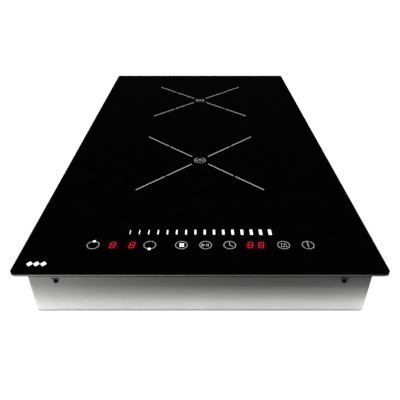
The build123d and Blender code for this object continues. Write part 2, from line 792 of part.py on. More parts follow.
def heat_sink():
    """An extruded sink: two thick flanks for the power devices and thin fins between them."""
    sink = block(-SINK_X, SINK_X, SINK_FRONT, SINK_REAR, BOARD_TOP, BOARD_TOP + SINK_BASE)
    for x in (-SINK_X, SINK_X - SINK_FLANK):
        sink += block(x, x + SINK_FLANK, SINK_FRONT, SINK_REAR, BOARD_TOP, SINK_TOP)
    span = 2 * (SINK_X - SINK_FLANK)
    for i in range(SINK_FINS):
        x = -span / 2 + (i + 1) * span / (SINK_FINS + 1) - SINK_FIN_T / 2
        sink += block(x, x + SINK_FIN_T, SINK_FRONT, SINK_REAR, BOARD_TOP, SINK_TOP - 1)
    for y in DEVICE_Y + (BRIDGE_Y,):
        for x in (-SINK_X, SINK_X - 4.5):
            sink -= rod_x(x, x + 4.5, y, DEVICE_SCREW_Z, SCREW_HOLE_R)
    return sink


def power_device(side, y, width, legs):
    """A flat power package upright against one flank of the sink, on its legs."""
    inner = SINK_X
    body = block(inner, inner + DEVICE_T, y - width / 2, y + width / 2, DEVICE_Z, DEVICE_Z + DEVICE_H)
    body = chamfer(body.edges().group_by(Axis.X)[-1], 0.6)
    pitch = width * 0.7 / (legs - 1)
    for i in range(legs):
        leg_y = y + (i - (legs - 1) / 2) * pitch
        body += block(inner + 2, inner + 2.7, leg_y - 0.6, leg_y + 0.6, BOARD_TOP, DEVICE_Z + 1)
    body -= rod_x(inner - 1, inner + DEVICE_T + 1, y, DEVICE_SCREW_Z, BOARD_HOLE_R)
    return body if side > 0 else mirror(body, about=Plane.YZ)


def power_transistors():
    return group([power_device(side, y, DEVICE_W, 3) for side in (-1, 1) for y in DEVICE_Y])


def bridge_rectifier():
    return power_device(1, BRIDGE_Y, BRIDGE_W, 4)


def resonant_capacitors():
    return group([on_board(x, y, *RESONANT_SIZE, BOX_EDGE) for x, y in RESONANT_PLACES])


def bus_capacitors():
    return group([on_board(x, y, *BUS_SIZE, BOX_EDGE) for x, y in BUS_PLACES])


def electrolytic_capacitors():
    """Small cans beside the standby supply, each with a crimped neck."""
    cans = []
    for x, y in CAN_PLACES:
        can = rod(x, y, BOARD_TOP, BOARD_TOP + CAN_H, CAN_R)
        neck = ring(x, y, BOARD_TOP + 1.6, BOARD_TOP + 2.6, CAN_R + 1, CAN_R - 0.5)
        cans.append(can - neck)
    return group(cans)


def standby_transformer():
    """A ferrite core round a wound bobbin on a pinned base."""
    x = TRANSFORMER_X
    y = TRANSFORMER_Y
    base = block(x - 12, x + 12, y - 11, y + 11, BOARD_TOP, BOARD_TOP + 3)
    bobbin = block(x - 10, x + 10, y - 9, y + 9, BOARD_TOP + 3, BOARD_TOP + 14)
    core = block(x - 12, x + 12, y - 3, y + 3, BOARD_TOP + 3, BOARD_TOP + 17)
    return base + fillet(bobbin.edges().filter_by(Axis.X), 3) + core


def terminal(x, y, size_x, size_y):
    """A lead's terminal on a board."""
    return on_board(x, y, size_x, size_y, TERMINAL_H, BOX_EDGE)


def board_connectors():
    """Terminals and headers for the leads that reach the boards."""
    pieces = [terminal(x, y, 8, 9) for x, y in lead_exits("front")]
    pieces += [terminal(x, REAR_TERMINAL_Y, 7, 9) for x in REAR_TERMINAL_X]
    pieces += [terminal(x, REAR_TERMINAL_Y, 9, 10) for x in FILTER_LEAD_X]
    pieces += [terminal(x, FILTER_FRONT + 18, 9, 10) for x in FILTER_LEAD_X]
    pieces += [terminal(FILTER_LEFT + 8, y, 9, 9) for y in MAINS_Y]
    pieces.append(terminal(FAN_PLUG_X, 32, 8, 8))
    pieces.append(terminal(RIBBON_X, -150, 25, 8))
    pieces.append(block(RIBBON_X - 12.5, RIBBON_X + 12.5, -180, -172, CONTROL_Z - 4, CONTROL_Z))
    return group(pieces)


# ---- Mains filter ----

def choke_core():
    low = CHOKE_Z - CHOKE_HALF_H
    high = CHOKE_Z + CHOKE_HALF_H
    ring = rod(CHOKE_X, CHOKE_Y, low, high, CHOKE_OUT) - rod(CHOKE_X, CHOKE_Y, low, high, CHOKE_IN)
    return chamfer(ring.edges(), 0.6)


def choke_winding():
    """Two halves of a common-mode choke: each turn is a square loop round the core's section."""
    turn = block(CHOKE_IN - CHOKE_WIRE, CHOKE_OUT + CHOKE_WIRE, -CHOKE_WIRE / 2, CHOKE_WIRE / 2,
                 -CHOKE_HALF_H - CHOKE_WIRE, CHOKE_HALF_H + CHOKE_WIRE)
    turn = fillet(turn.edges().filter_by(Axis.Y), 1.2)
    half_h = CHOKE_HALF_H + CHOKE_GAP
    turn -= block(CHOKE_IN - CHOKE_GAP, CHOKE_OUT + CHOKE_GAP, -CHOKE_WIRE, CHOKE_WIRE, -half_h, half_h)
    turns = []
    for side in (0, 180):
        for i in range(CHOKE_TURNS):
            angle = side + (i - (CHOKE_TURNS - 1) / 2) * CHOKE_TURN_STEP
            turns.append(Pos(CHOKE_X, CHOKE_Y, CHOKE_Z) * Rot(0, 0, angle) * turn)
    return group(turns)


def filter_capacitors():
    """Two boxed suppression capacitors and two small disc capacitors."""
    pieces = [on_board(FILTER_BOX_X, y, *FILTER_BOX_SIZE, BOX_EDGE) for y in MAINS_Y]
    for x in DISC_CAP_X:
        disc = rod_x(x - 2, x + 2, DISC_CAP_Y, BOARD_TOP + DISC_CAP_R + 1.5, DISC_CAP_R)
        for leg_y in (DISC_CAP_Y - DISC_CAP_R / 2, DISC_CAP_Y + DISC_CAP_R / 2):
            disc += rod(x, leg_y, BOARD_TOP, BOARD_TOP + DISC_CAP_R, 0.4)
        pieces.append(disc)
    return group(pieces)


def fuse():
    """A ceramic fuse in two clips."""
    cap = 6.0
    z = BOARD_TOP + 5
    body = rod_y(FUSE_X, FUSE_FRONT + 2, FUSE_REAR - 2, z, 2.8)
    for low in (FUSE_FRONT, FUSE_REAR - cap):
        middle = low + cap / 2
        body += rod_y(FUSE_X, low, low + cap, z, 3.2)
        body += block(FUSE_X - 4, FUSE_X + 4, middle - 2, middle + 2, BOARD_TOP, z)
    return body


# ---- Cooling fan ----

def fan_screw_points():
    return [(FAN_X + x, FAN_Y + y) for x in (-FAN_SCREW_SPAN, FAN_SCREW_SPAN)
            for y in (-FAN_SCREW_SPAN, FAN_SCREW_SPAN)]


def fan_frame():
    """A square frame with a round bore; a hub disc on four struts carries the bearing tube."""
    frame = extrude(RectangleRounded(FAN_SIZE, FAN_SIZE, 4), FAN_H)
    frame -= rod(0, 0, -1, FAN_H + 1, FAN_BORE_R)
    waist = FAN_SIZE / 2 - 0.9
    for x in (-1, 1):
        frame -= Pos(x * (waist + 2), 0, FAN_H / 2) * Box(4, 46, FAN_H - 7)
        frame -= Pos(0, x * (waist + 2), FAN_H / 2) * Box(46, 4, FAN_H - 7)
    disc_low = FAN_H - HUB_DISC_T
    struts = Pos(0, 0, FAN_H - HUB_DISC_T / 2) * Box(2 * FAN_BORE_R + 1, 4, HUB_DISC_T)
    frame += struts
    frame += Rot(0, 0, 90) * struts
    frame += rod(0, 0, disc_low, FAN_H, HUB_DISC_R)
    frame += rod(0, 0, 6.8, disc_low, BEARING_TUBE_R)
    frame -= rod(0, 0, 6, disc_low, BEARING_TUBE_BORE)
    frame = Pos(FAN_X, FAN_Y, FAN_FLOOR) * frame
    for x, y in fan_screw_points():
        frame -= rod(x, y, FAN_FLOOR - 1, FAN_TOP + 1, 2.15)
    return frame


def fan_blade():
    """One twisted blade, steep at the hub and flatter at the tip, trimmed to the swept ring."""
    middle = (CUP_FLOOR_Z + CUP_TOP_Z) / 2
    sections = []
    for radius, chord, pitch in ((9.0, 15.0, 48), (42.0, 22.0, 26)):
        turn = math.radians(pitch)
        across = (0, math.cos(turn), math.sin(turn))
        plane = Plane(origin=(radius, 0, middle), x_dir=across, z_dir=(1, 0, 0))
        sections.append(plane * Rectangle(chord, BLADE_T))
    swept = rod(0, 0, CUP_FLOOR_Z, CUP_TOP_Z, BLADE_TIP_R) - rod(0, 0, 0, 30, CUP_R - CUP_WALL / 2)
    return loft(sections) & swept


def fan_impeller():
    """A cup over the motor with nine blades, and a boss that grips the shaft."""
    cup = rod(0, 0, CUP_FLOOR_Z, CUP_TOP_Z, CUP_R)
    cup = chamfer(cup.edges().group_by(Axis.Z)[0], 1.0)
    cup -= rod(0, 0, CUP_FLOOR_Z + 1.7, CUP_TOP_Z + 1, CUP_R - CUP_WALL)
    cup += rod(0, 0, CUP_FLOOR_Z + 1.7, 7.0, 3.2)
    cup -= rod(0, 0, 3.4, 8, SHAFT_R)
    blade = fan_blade()
    for i in range(BLADES):
        cup += Rot(0, 0, i * 360 / BLADES) * blade
    return Pos(FAN_X, FAN_Y, 0) * cup


def fan_magnet_ring():
    outer = CUP_R - CUP_WALL
    return rod(FAN_X, FAN_Y, 6, 16.5, outer) - rod(FAN_X, FAN_Y, 6, 16.5, outer - MAGNET_T)


def fan_shaft():
    return rod(FAN_X, FAN_Y, 3.4, 17.6, SHAFT_R)


def fan_bearing():
    low = FAN_FLOOR + 7.2
    high = low + 9.4
    bore = SHAFT_R + RUNNING_FIT
    return rod(FAN_X, FAN_Y, low, high, BEARING_R) - rod(FAN_X, FAN_Y, low, high, bore)


def fan_stator():
    """Four laminated poles round the bearing tube, each with its winding."""
    low = 9.0
    high = 14.5
    core = rod(0, 0, low, high, 6.2)
    shoes = rod(0, 0, low, high, STATOR_R) - rod(0, 0, low, high, STATOR_R - 1.8)
    for angle in (45, 135):
        shoes -= Rot(0, 0, angle) * Pos(0, 0, (low + high) / 2) * Box(2 * STATOR_R + 2, 4, high - low)
    core += shoes
    for angle in (0, 90):
        core += Rot(0, 0, angle) * Pos(0, 0, (low + high) / 2) * Box(2 * STATOR_R - 2, 3, high - low)
    core -= rod(0, 0, low - 1, high + 1, BEARING_TUBE_R + 0.05)
    winding = block(6.6, 10.4, -3.0, 3.0, low - 1.5, high + 1.5)
    winding -= block(6.6, 10.4, -1.6, 1.6, low - 0.1, high + 0.1)
    pieces = [core] + [Rot(0, 0, angle) * winding for angle in (0, 90, 180, 270)]
    return group([Pos(FAN_X, FAN_Y, 0) * piece for piece in pieces])


def fan_screws():
    screw = pan_screw(3.4, 2.2, 1.9, FAN_H + 0.7)
    return group([Pos(x, y, FAN_TOP) * screw for x, y in fan_screw_points()])


def fan_lead():
    """The motor's lead, from the frame's side up to its plug on the power board."""
    exit_y = 66
    plug_y = 36
    high = BOARD_TOP + 4.5
    turn = (FAN_PLUG_X, exit_y, 5)
    points = [(-FAN_SIZE / 2, exit_y, 5), turn, (FAN_PLUG_X, 48, high), (FAN_PLUG_X, plug_y, high)]
    return lead(points, [4, 6], 1.2)


def air_duct():
    """A hood over the fan, open at the front, where its mouth meets the heat sink."""
    hood = block(-DUCT_X, DUCT_X, DUCT_FRONT, DUCT_REAR, DUCT_LOW, DUCT_TOP)
    hood = fillet(hood.edges().filter_by(Axis.Z).group_by(Axis.Y)[-1], 6)
    inside = DUCT_X - DUCT_WALL
    back = DUCT_REAR - DUCT_WALL
    cavity = block(-inside, inside, DUCT_FRONT - 1, back, DUCT_LOW - 1, DUCT_TOP - DUCT_WALL)
    cavity = fillet(cavity.edges().filter_by(Axis.Z).group_by(Axis.Y)[-1], 4)
    return hood - cavity


# ---- Supply ----

def pole_x(i):
    return BLOCK_LEFT + (i + 0.5) * POLE_PITCH


def terminal_block():
    """Five poles between barriers, with a wire hole at each end of every pole."""
    right = BLOCK_LEFT + BLOCK_POLES * POLE_PITCH
    body = block(BLOCK_LEFT, right, BLOCK_FRONT, BLOCK_REAR, SHEET, BLOCK_DECK)
    for i in range(BLOCK_POLES + 1):
        x = min(max(BLOCK_LEFT + i * POLE_PITCH, BLOCK_LEFT + 0.8), right - 0.8)
        body += block(x - 0.8, x + 0.8, BLOCK_FRONT, BLOCK_REAR, BLOCK_DECK, BLOCK_TOP)
    for i in range(BLOCK_POLES):
        body -= rod_y(pole_x(i), BLOCK_FRONT - 1, BLOCK_FRONT + 5, LEAD_Z, 2.2)
        body -= rod_y(pole_x(i), BLOCK_REAR - 5, BLOCK_REAR + 1, LEAD_Z, 2.6)
        for y in (BLOCK_FRONT + 8, BLOCK_REAR - 8):
            body -= rod(pole_x(i), y, BLOCK_DECK - 9, BLOCK_DECK + 1, 1.7)
    return body


def terminal_screws():
    """The block's clamping screws and the earth screw in the floor."""
    screw = pan_screw(3.2, 2.2, SCREW_R, 8.0)
    screws = []
    for i in range(BLOCK_POLES):
        for y in (BLOCK_FRONT + 8, BLOCK_REAR - 8):
            screws.append(Pos(pole_x(i), y, BLOCK_DECK) * screw)
    screws.append(hexagon(pole_x(0), EARTH_Y, SHEET, SHEET + 5, EARTH_FLATS))
    return group(screws)


def supply_leads():
    """Live, neutral and earth leads from the block, and two leads from the filter to the power board."""
    start = BLOCK_FRONT + 4
    goal = FILTER_LEFT + 3.5
    lug = EARTH_Y + EARTH_FLATS / 2
    earth_x = pole_x(0)
    earth = [(earth_x, start, LEAD_Z), (earth_x, 187, LEAD_Z), (earth_x, 179, 3.5), (earth_x, lug, 3.5)]
    leads = [
        lead([(pole_x(i), start, LEAD_Z), (pole_x(i), y, LEAD_Z), (goal, y, LEAD_Z)], 7.0, LEAD_R)
        for i, y in zip((3, 4), MAINS_Y)
    ]
    leads.append(lead(earth, 5.0, LEAD_R))
    rear = FILTER_FRONT + 13
    front = REAR_TERMINAL_Y + 5
    for x, bow in zip(FILTER_LEAD_X, (7.0, 5.0)):
        route = [(x, rear), (x, rear - 18), (x + bow, rear - 42)]
        route += [(x + bow, front + 42), (x, front + 18), (x, front)]
        leads.append(lead([(lead_x, y, LEAD_Z) for lead_x, y in route], 30.0, LEAD_R))
    return group(leads)


NODES = {
    "glass_top": glass_top(),
    "worktop_seal": worktop_seal(),
    "glass_adhesive": glass_adhesive(),
    "rail_screws": rail_screws(),
    "housing_tray": housing_tray(),
    "bracket_nuts": bracket_nuts(),
    "cable_grommet": cable_grommet(),
    "rating_plate": rating_plate(),
    "shield_plate": shield_plate(),
    "shield_posts": shield_posts(),
    "m3_screws": m3_screws(),
    "ferrite_bars": ferrite_bars(),
    "insulation_discs": insulation_discs(),
    "coil_buffers": coil_buffers(),
    "coil_screws": coil_screws(),
    "temperature_sensors": temperature_sensors(),
    "coil_leads": coil_leads(),
    "control_board": control_board(),
    "control_board_frame": control_board_frame(),
    "touch_contacts": touch_contacts(),
    "zone_displays": zone_displays(),
    "timer_display": timer_display(),
    "circuit_chips": circuit_chips(),
    "buzzer": buzzer(),
    "control_ribbon": control_ribbon(),
    "power_board": power_board(),
    "filter_board": filter_board(),
    "board_standoffs": board_standoffs(),
    "board_connectors": board_connectors(),
    "heat_sink": heat_sink(),
    "power_transistors": power_transistors(),
    "bridge_rectifier": bridge_rectifier(),
    "resonant_capacitors": resonant_capacitors(),
    "bus_capacitors": bus_capacitors(),
    "electrolytic_capacitors": electrolytic_capacitors(),
    "standby_transformer": standby_transformer(),
    "choke_core": choke_core(),
    "choke_winding": choke_winding(),
    "filter_capacitors": filter_capacitors(),
    "fuse": fuse(),
    "fan_frame": fan_frame(),
    "fan_impeller": fan_impeller(),
    "fan_magnet_ring": fan_magnet_ring(),
    "fan_shaft": fan_shaft(),
    "fan_bearing": fan_bearing(),
    "fan_stator": fan_stator(),
    "fan_screws": fan_screws(),
    "fan_lead": fan_lead(),
    "air_duct": air_duct(),
    "terminal_block": terminal_block(),
    "terminal_screws": terminal_screws(),
    "supply_leads": supply_leads(),
}
for side in WALLS:
    NODES[f"glass_rail_{side}"] = glass_rail(side)
for zone in ZONES:
    NODES[f"coil_carrier_{zone}"] = coil_carrier(zone)
    NODES[f"coil_winding_{zone}"] = coil_winding(zone)

os.makedirs("parts", exist_ok=True)
for node, shape in NODES.items():
    export_step(shape, f"parts/{node}.step")
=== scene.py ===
# Looks of the two-zone electric induction cooktop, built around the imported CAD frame.
import json
import math

import bmesh
import bpy
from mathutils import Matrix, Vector


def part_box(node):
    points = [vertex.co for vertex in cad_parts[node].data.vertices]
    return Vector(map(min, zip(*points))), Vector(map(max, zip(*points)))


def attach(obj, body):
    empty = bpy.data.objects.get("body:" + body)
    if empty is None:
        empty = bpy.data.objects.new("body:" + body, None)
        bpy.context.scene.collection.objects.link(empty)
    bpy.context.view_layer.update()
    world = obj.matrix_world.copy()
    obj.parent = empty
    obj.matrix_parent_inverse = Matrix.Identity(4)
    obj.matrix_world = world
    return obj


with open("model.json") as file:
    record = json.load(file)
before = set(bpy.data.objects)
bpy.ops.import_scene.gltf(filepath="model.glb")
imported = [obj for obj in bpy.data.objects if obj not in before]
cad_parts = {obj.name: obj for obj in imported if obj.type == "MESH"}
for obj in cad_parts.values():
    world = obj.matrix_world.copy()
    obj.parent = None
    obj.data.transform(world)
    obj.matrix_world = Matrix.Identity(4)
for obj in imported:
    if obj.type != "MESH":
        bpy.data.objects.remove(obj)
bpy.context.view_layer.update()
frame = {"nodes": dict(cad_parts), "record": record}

# Everything is in the row frame: X to the right, Y to the rear, Z up, in metres.
# The printed marks are laid out in millimetres and scaled when their meshes are made.
MM = 0.001
GLASS_LOW, GLASS_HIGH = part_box("glass_top")
TRAY_LOW, TRAY_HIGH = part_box("housing_tray")

# ---------------------------------------------------------------- driving values

# Printed films
FILM_GAP = 0.002 * MM
FILM_THICKNESS = 0.028 * MM
FILM_LOW = GLASS_HIGH.z + FILM_GAP
FILM_HIGH = FILM_LOW + FILM_THICKNESS

# Cooking zone marks: four arms at 45 degrees round a small icon
ZONES = {"front": -71.5, "rear": 125.6}
ARM_START = 9.0
ARM_END = 63.6
ARM_LINE = 0.74
ARM_BREAK = 36.0
ARM_GAP = 1.5
ICON_RADIUS = 6.1
ICON_LINE = 0.4
ICON_ARCS = ((112, 248), (-68, 68))
ICON_COIL_X = 3.1
ICON_COIL_RADIUS = 0.9
ICON_COIL_TURN = (200, 520)
# start, end and width of each stroke on the right half; the left half mirrors them
ICON_STROKES = (
    ((0.7, -5.7), (1.5, -5.7), ICON_LINE),
    ((0.75, 1.2), (0.75, 3.0), 0.6),
    ((0.75, -2.0), (0.75, -1.0), 0.45),
)

# Power slider: bars that grow wider to the right
SLIDER_BARS = 16
SLIDER_FIRST = -59.4
SLIDER_LAST = 59.5
SLIDER_Y = -204.6
SLIDER_SHORT = 5.6
SLIDER_LONG = 7.4
SLIDER_NARROW = 0.55
SLIDER_WIDE = 2.6

# Touch keys
KEY_Y = -222.0
KEY_RADIUS = 5.0
KEY_LINE = 0.32
KEY_DOT = 1.3
KEY_DOT_CLEAR = 1.0
STROKE = 0.42
LOCK_STROKE = 0.6
KEYS = {
    "rear_zone": -87.4,
    "front_zone": -41.0,
    "boost": -15.2,
    "play": 4.6,
    "clock": 24.3,
    "lock": 68.4,
    "power": 88.4,
}
ZONE_DOTS = {"rear_zone": 1, "front_zone": -1}

# Pictograms, about each key's middle
BOOST_SHIFT = 0.3
BOOST_BLOCK = (1.6, 2.0)
BOOST_APART = (1.0, 1.25)
BLOCK_CORNER = 0.25
PLAY_ARROW = ((-3.0, -1.4), (-3.0, 1.4), (-0.9, 0.0))
PLAY_BARS = (((0.9, -1.4), (0.9, 1.4)), ((2.2, -1.4), (2.2, 1.4)))
CLOCK_HANDS = ((0.0, 4.2), (0.0, 0.0), (2.4, -2.1))
LOCK_LINES = (
    ((-1.6, 0.9), (-1.2, 2.0)),
    ((0.6, 2.0), (1.8, 0.7)),
    ((-1.9, -2.2), (-1.9, -1.2)),
    ((0.1, -2.2), (0.1, -1.2)),
    ((2.1, -2.2), (2.1, -1.2)),
)
POWER_LINES = (((0.0, -2.6), (0.0, 3.9)),)

# Lit digits
ZONE_DIGITS = (-71.4, -55.6)
TIMER_DIGITS = (41.2, 50.0)
DIGIT_WIDTH = 4.6
DIGIT_HEIGHT = 7.8
SEGMENT_WIDTH = 0.72
SEGMENT_GAP = 0.12
DIGIT_SLANT = math.tan(math.radians(8.0))
GLOW_CORE = 1.5
GLOW_RADIUS = 7.5
SEGMENT_COLOURS = ((0.10, 0.002, 0.006, 1.0), (0.14, 0.004, 0.01, 1.0))
SEGMENT_LIGHT = ((0.56, 0.010, 0.028, 1.0), (0.66, 0.015, 0.038, 1.0))
GLOW_LIGHT = (0.030, 0.0006, 0.0016, 1.0)

# Generic mark at the front left corner: three leaning diamonds
MARK_X = -126.2
MARK_Y = -245.0
MARK_PITCH = 5.4
MARK_SIZE = (5.0, 5.6)

# Camera, fitted to the photograph's view
CAMERA_PLACE = (0.0, -0.4907, 0.2702)
CAMERA_TILT = math.radians(57.31)
CAMERA_LENS = 37.75
CAMERA_SENSOR = 36.0

# Black glass, with a rough ground band low on its edge whose pale colour is a painted highlight
GLASS_DARK = (0.0002, 0.0002, 0.0002, 1.0)
GLASS_LIGHT = (0.0005, 0.0005, 0.0005, 1.0)
EDGE_HIGHLIGHT_DARK = (0.60, 0.61, 0.62, 1.0)
EDGE_HIGHLIGHT_LIGHT = (0.76, 0.77, 0.78, 1.0)
HIGHLIGHT_BAND_LOW = 0.95 * MM
HIGHLIGHT_BAND_HIGH = 1.75 * MM
HIGHLIGHT_BAND_BLUR = 0.18 * MM

# Painted shade on the galvanised tray, in strips that come and go between two heights: a painted
# shadow along its bottom bend, and a painted shadow of the glass's overhang high under the glass
BEND_SHADOW_FADE_IN = (TRAY_LOW.z + 0.1 * MM, TRAY_LOW.z + 0.4 * MM)
BEND_SHADOW_FADE_OUT = (TRAY_LOW.z + 2.0 * MM, TRAY_LOW.z + 3.2 * MM)
BEND_SHADOW_DEPTH = 0.66
NECK_SHADOW_FADE_IN = (38.9 * MM, 40.4 * MM)
NECK_SHADOW_DEPTH = 0.6

# The room: dim, and darkest within a cone (degrees) round the direction that the glass mirrors
ROOM_LIGHT = 0.025
ROOM_DARK = 0.004
DARK_HEADING = (0.0, math.cos(math.radians(30.0)), math.sin(math.radians(30.0)))
DARK_INNER = 42.0
DARK_OUTER = 66.0

# Distant lights: strength, with elevation and angle in degrees
OVERHEAD = 3.6
OVERHEAD_ELEVATION = 88.0
OVERHEAD_ANGLE = 30.0
KEY = 0.6
KEY_ELEVATION = 64.0
KEY_ANGLE = 4.0
UNDERSIDE = 1.3
UNDERSIDE_ANGLE = 1.0

# Low strips beside the tray, in watts per metre, and a small fill at the front left, in watts
STRIP = 0.1
STRIP_AWAY = 14.0 * MM
STRIP_PAST = 40.0 * MM
STRIP_HEIGHT = 4.0 * MM
STRIP_RAISED = 5.0 * MM
FILL = 0.17
FILL_PLACE = (-0.25, -0.35, 0.03)
FILL_SIZE = 0.03
FILL_AIM_Z = 0.02

# White floor
FLOOR_HALF = 6.0
FLOOR_GAP = 0.3 * MM


# ---------------------------------------------------------------- printed films

def circle(x, y, radius, steps=48):
    """Points of a circle, anticlockwise."""
    turns = [math.tau * i / steps for i in range(steps)]
    return [(x + radius * math.cos(a), y + radius * math.sin(a)) for a in turns]


def arc(x, y, radius, start, end, steps=24):
    """Points of an arc between two angles in degrees."""
    angles = [math.radians(start + (end - start) * i / steps) for i in range(steps + 1)]
    return [(x + radius * math.cos(a), y + radius * math.sin(a)) for a in angles]


def capsule(start, end, width, steps=8):
    """Outline of a straight line with round ends, anticlockwise."""
    heading = math.degrees(math.atan2(end[1] - start[1], end[0] - start[0]))
    far_end = arc(end[0], end[1], width / 2, heading - 90, heading + 90, steps)
    near_end = arc(start[0], start[1], width / 2, heading + 90, heading + 270, steps)
    return far_end + near_end


def rounded_bar(x, y, width, length, radius, steps=4):
    """Outline of an upright bar with rounded corners, anticlockwise."""
    dx = width / 2 - radius
    dy = length / 2 - radius
    corners = ((dx, dy, 0), (-dx, dy, 90), (-dx, -dy, 180), (dx, -dy, 270))
    outline = []
    for cx, cy, start in corners:
        outline += arc(x + cx, y + cy, radius, start, start + 90, steps)
    return outline


def moved(points, x):
    """The points, moved sideways."""
    return [(x + px, py) for px, py in points]


class Film:
    """A thin layer on the glass, collected shape by shape in millimetres about one place."""

    def __init__(self, x=0.0, y=0.0, low=FILM_LOW, high=FILM_HIGH):
        self.place = Vector((x * MM, y * MM, 0.0))
        self.low = low
        self.high = high
        self.mesh = bmesh.new()

    def points(self, outline, z):
        return [self.mesh.verts.new((x * MM, y * MM, z)) for x, y in outline]

    def wall(self, low, high, closed):
        count = len(low) if closed else len(low) - 1
        for i in range(count):
            j = (i + 1) % len(low)
            self.mesh.faces.new((low[i], low[j], high[j], high[i]))

    def patch(self, outline):
        """A flat patch with a convex outline, listed anticlockwise."""
        low = self.points(outline, self.low)
        high = self.points(outline, self.high)
        self.mesh.faces.new(high)
        self.mesh.faces.new(low[::-1])
        self.wall(low, high, True)

    def line(self, path, width, closed=False):
        """A line of one width along a path, with mitred corners and square ends."""
        left, right = line_edges(path, width, closed)
        low_left = self.points(left, self.low)
        low_right = self.points(right, self.low)
        high_left = self.points(left, self.high)
        high_right = self.points(right, self.high)
        self.wall(low_right, high_right, closed)
        self.wall(high_left, low_left, closed)
        self.wall(high_right, high_left, closed)
        self.wall(low_left, low_right, closed)
        if not closed:
            self.mesh.faces.new((low_left[0], low_right[0], high_right[0], high_left[0]))
            self.mesh.faces.new((high_left[-1], high_right[-1], low_right[-1], low_left[-1]))

    def finish(self, name, slot, body="cooktop"):
        """Makes the object, gives it its finish and lets it ride on its body."""
        bmesh.ops.recalc_face_normals(self.mesh, faces=self.mesh.faces)
        data = bpy.data.meshes.new(name)
        self.mesh.to_mesh(data)
        self.mesh.free()
        data.materials.append(FINISHES[slot])
        piece = bpy.data.objects.new(name, data)
        piece.location = self.place
        bpy.context.scene.collection.objects.link(piece)
        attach(piece, body)
        return piece


def line_edges(path, width, closed):
    """The left and right edges of a line of one width along a path."""
    points = [Vector(p) for p in path]
    left = []
    right = []
    for i, point in enumerate(points):
        runs = []
        if closed or i > 0:
            runs.append((point - points[i - 1]).normalized())
        if closed or i < len(points) - 1:
            runs.append((points[(i + 1) % len(points)] - point).normalized())
        along = sum(runs, Vector((0.0, 0.0))).normalized()
        reach = width / 2 / along.dot(runs[0])
        side = Vector((-along.y, along.x)) * reach
        left.append(point + side)
        right.append(point - side)
    return left, right


# ---------------------------------------------------------------- materials

# the scale at which Blender's wave texture repeats once in each unit of its coordinate
WAVE_UNIT = math.tau / 20.0
RECORD_COLOURS = {m["slot"]: m["base_color"][:3] for m in frame["record"]["materials"]}


class Finish:
    """One procedural material. Its detail is laid out in the object's own coordinates."""

    def __init__(self, slot, settings):
        self.material = bpy.data.materials.new(slot)
        self.material.use_nodes = True
        self.tree = self.material.node_tree
        self.shader = self.tree.nodes["Principled BSDF"]
        for socket, value in settings.items():
            self.shader.inputs[socket].default_value = value
        self.place = self.tree.nodes.new("ShaderNodeTexCoord").outputs["Object"]

    def add(self, kind, inputs, **settings):
        """A new node of this kind, with its inputs linked or set."""
        node = self.tree.nodes.new(kind)
        for name, value in settings.items():
            setattr(node, name, value)
        for key, value in inputs.items():
            if isinstance(value, bpy.types.NodeSocket):
                self.tree.links.new(value, node.inputs[key])
            else:
                node.inputs[key].default_value = value
        return node

    def scaled(self, scale):
        """The place, scaled by repeats per metre: one number, or one for each axis."""
        if not isinstance(scale, tuple):
            scale = (scale, scale, scale)
        inputs = {"Vector": self.place, "Scale": scale}
        return self.add("ShaderNodeMapping", inputs).outputs["Vector"]

    def noise(self, scale, detail=3.0):
        """Cloudy noise, spread over 0 to 1."""
        inputs = {"Vector": self.scaled(scale), "Scale": 1.0, "Detail": detail}
        node = self.add("ShaderNodeTexNoise", inputs)
        return self.remap(node.outputs["Fac"], 0.3, 0.7, 0.0, 1.0)

    def cells(self, scale, feature="F1", output="Distance"):
        """Voronoi cells: distance to the nearest, or a random colour for each."""
        inputs = {"Vector": self.scaled(scale), "Scale": 1.0}
        return self.add("ShaderNodeTexVoronoi", inputs, feature=feature).outputs[output]

    def waves(self, scale, direction, distortion=0.0):
        """Parallel ridges across one axis, in repeats per metre."""
        inputs = {
            "Vector": self.scaled(scale),
            "Scale": WAVE_UNIT,
            "Distortion": distortion,
            "Detail": 2.0,
        }
        return self.add("ShaderNodeTexWave", inputs, bands_direction=direction).outputs["Fac"]

    def remap(self, value, low, high, new_low, new_high):
        """The value, stretched from one range to another and held inside it."""
        inputs = {
            "Value": value,
            "From Min": low,
            "From Max": high,
            "To Min": new_low,
            "To Max": new_high,
        }
        return self.add("ShaderNodeMapRange", inputs).outputs["Result"]

    def sums(self, operation, first, second):
        """One sum of two values."""
        return self.add("ShaderNodeMath", {0: first, 1: second}, operation=operation).outputs[0]

    def mixed(self, factor, first, second):
        """A blend of two colours or colour sockets. The node's colour sockets go by number."""
        inputs = {"Factor": factor, 6: first, 7: second}
        return self.add("ShaderNodeMix", inputs, data_type="RGBA").outputs[2]

    def into(self, socket, value):
        self.tree.links.new(value, self.shader.inputs[socket])

    def relief(self, height, depth, strength=1.0):
        """Bump of this depth, in metres, over any bump that came before it."""
        inputs = {"Height": height, "Distance": depth, "Strength": strength}
        before = self.shader.inputs["Normal"].links
        if before:
            inputs["Normal"] = before[0].from_socket
        self.into("Normal", self.add("ShaderNodeBump", inputs).outputs["Normal"])


def grey(level):
    """A grey of this level, as RGBA."""
    return (level, level, level, 1.0)


def shade(colour, factor):
    """A colour made darker or lighter, as RGBA."""
    return tuple(min(1.0, c * factor) for c in colour) + (1.0,)


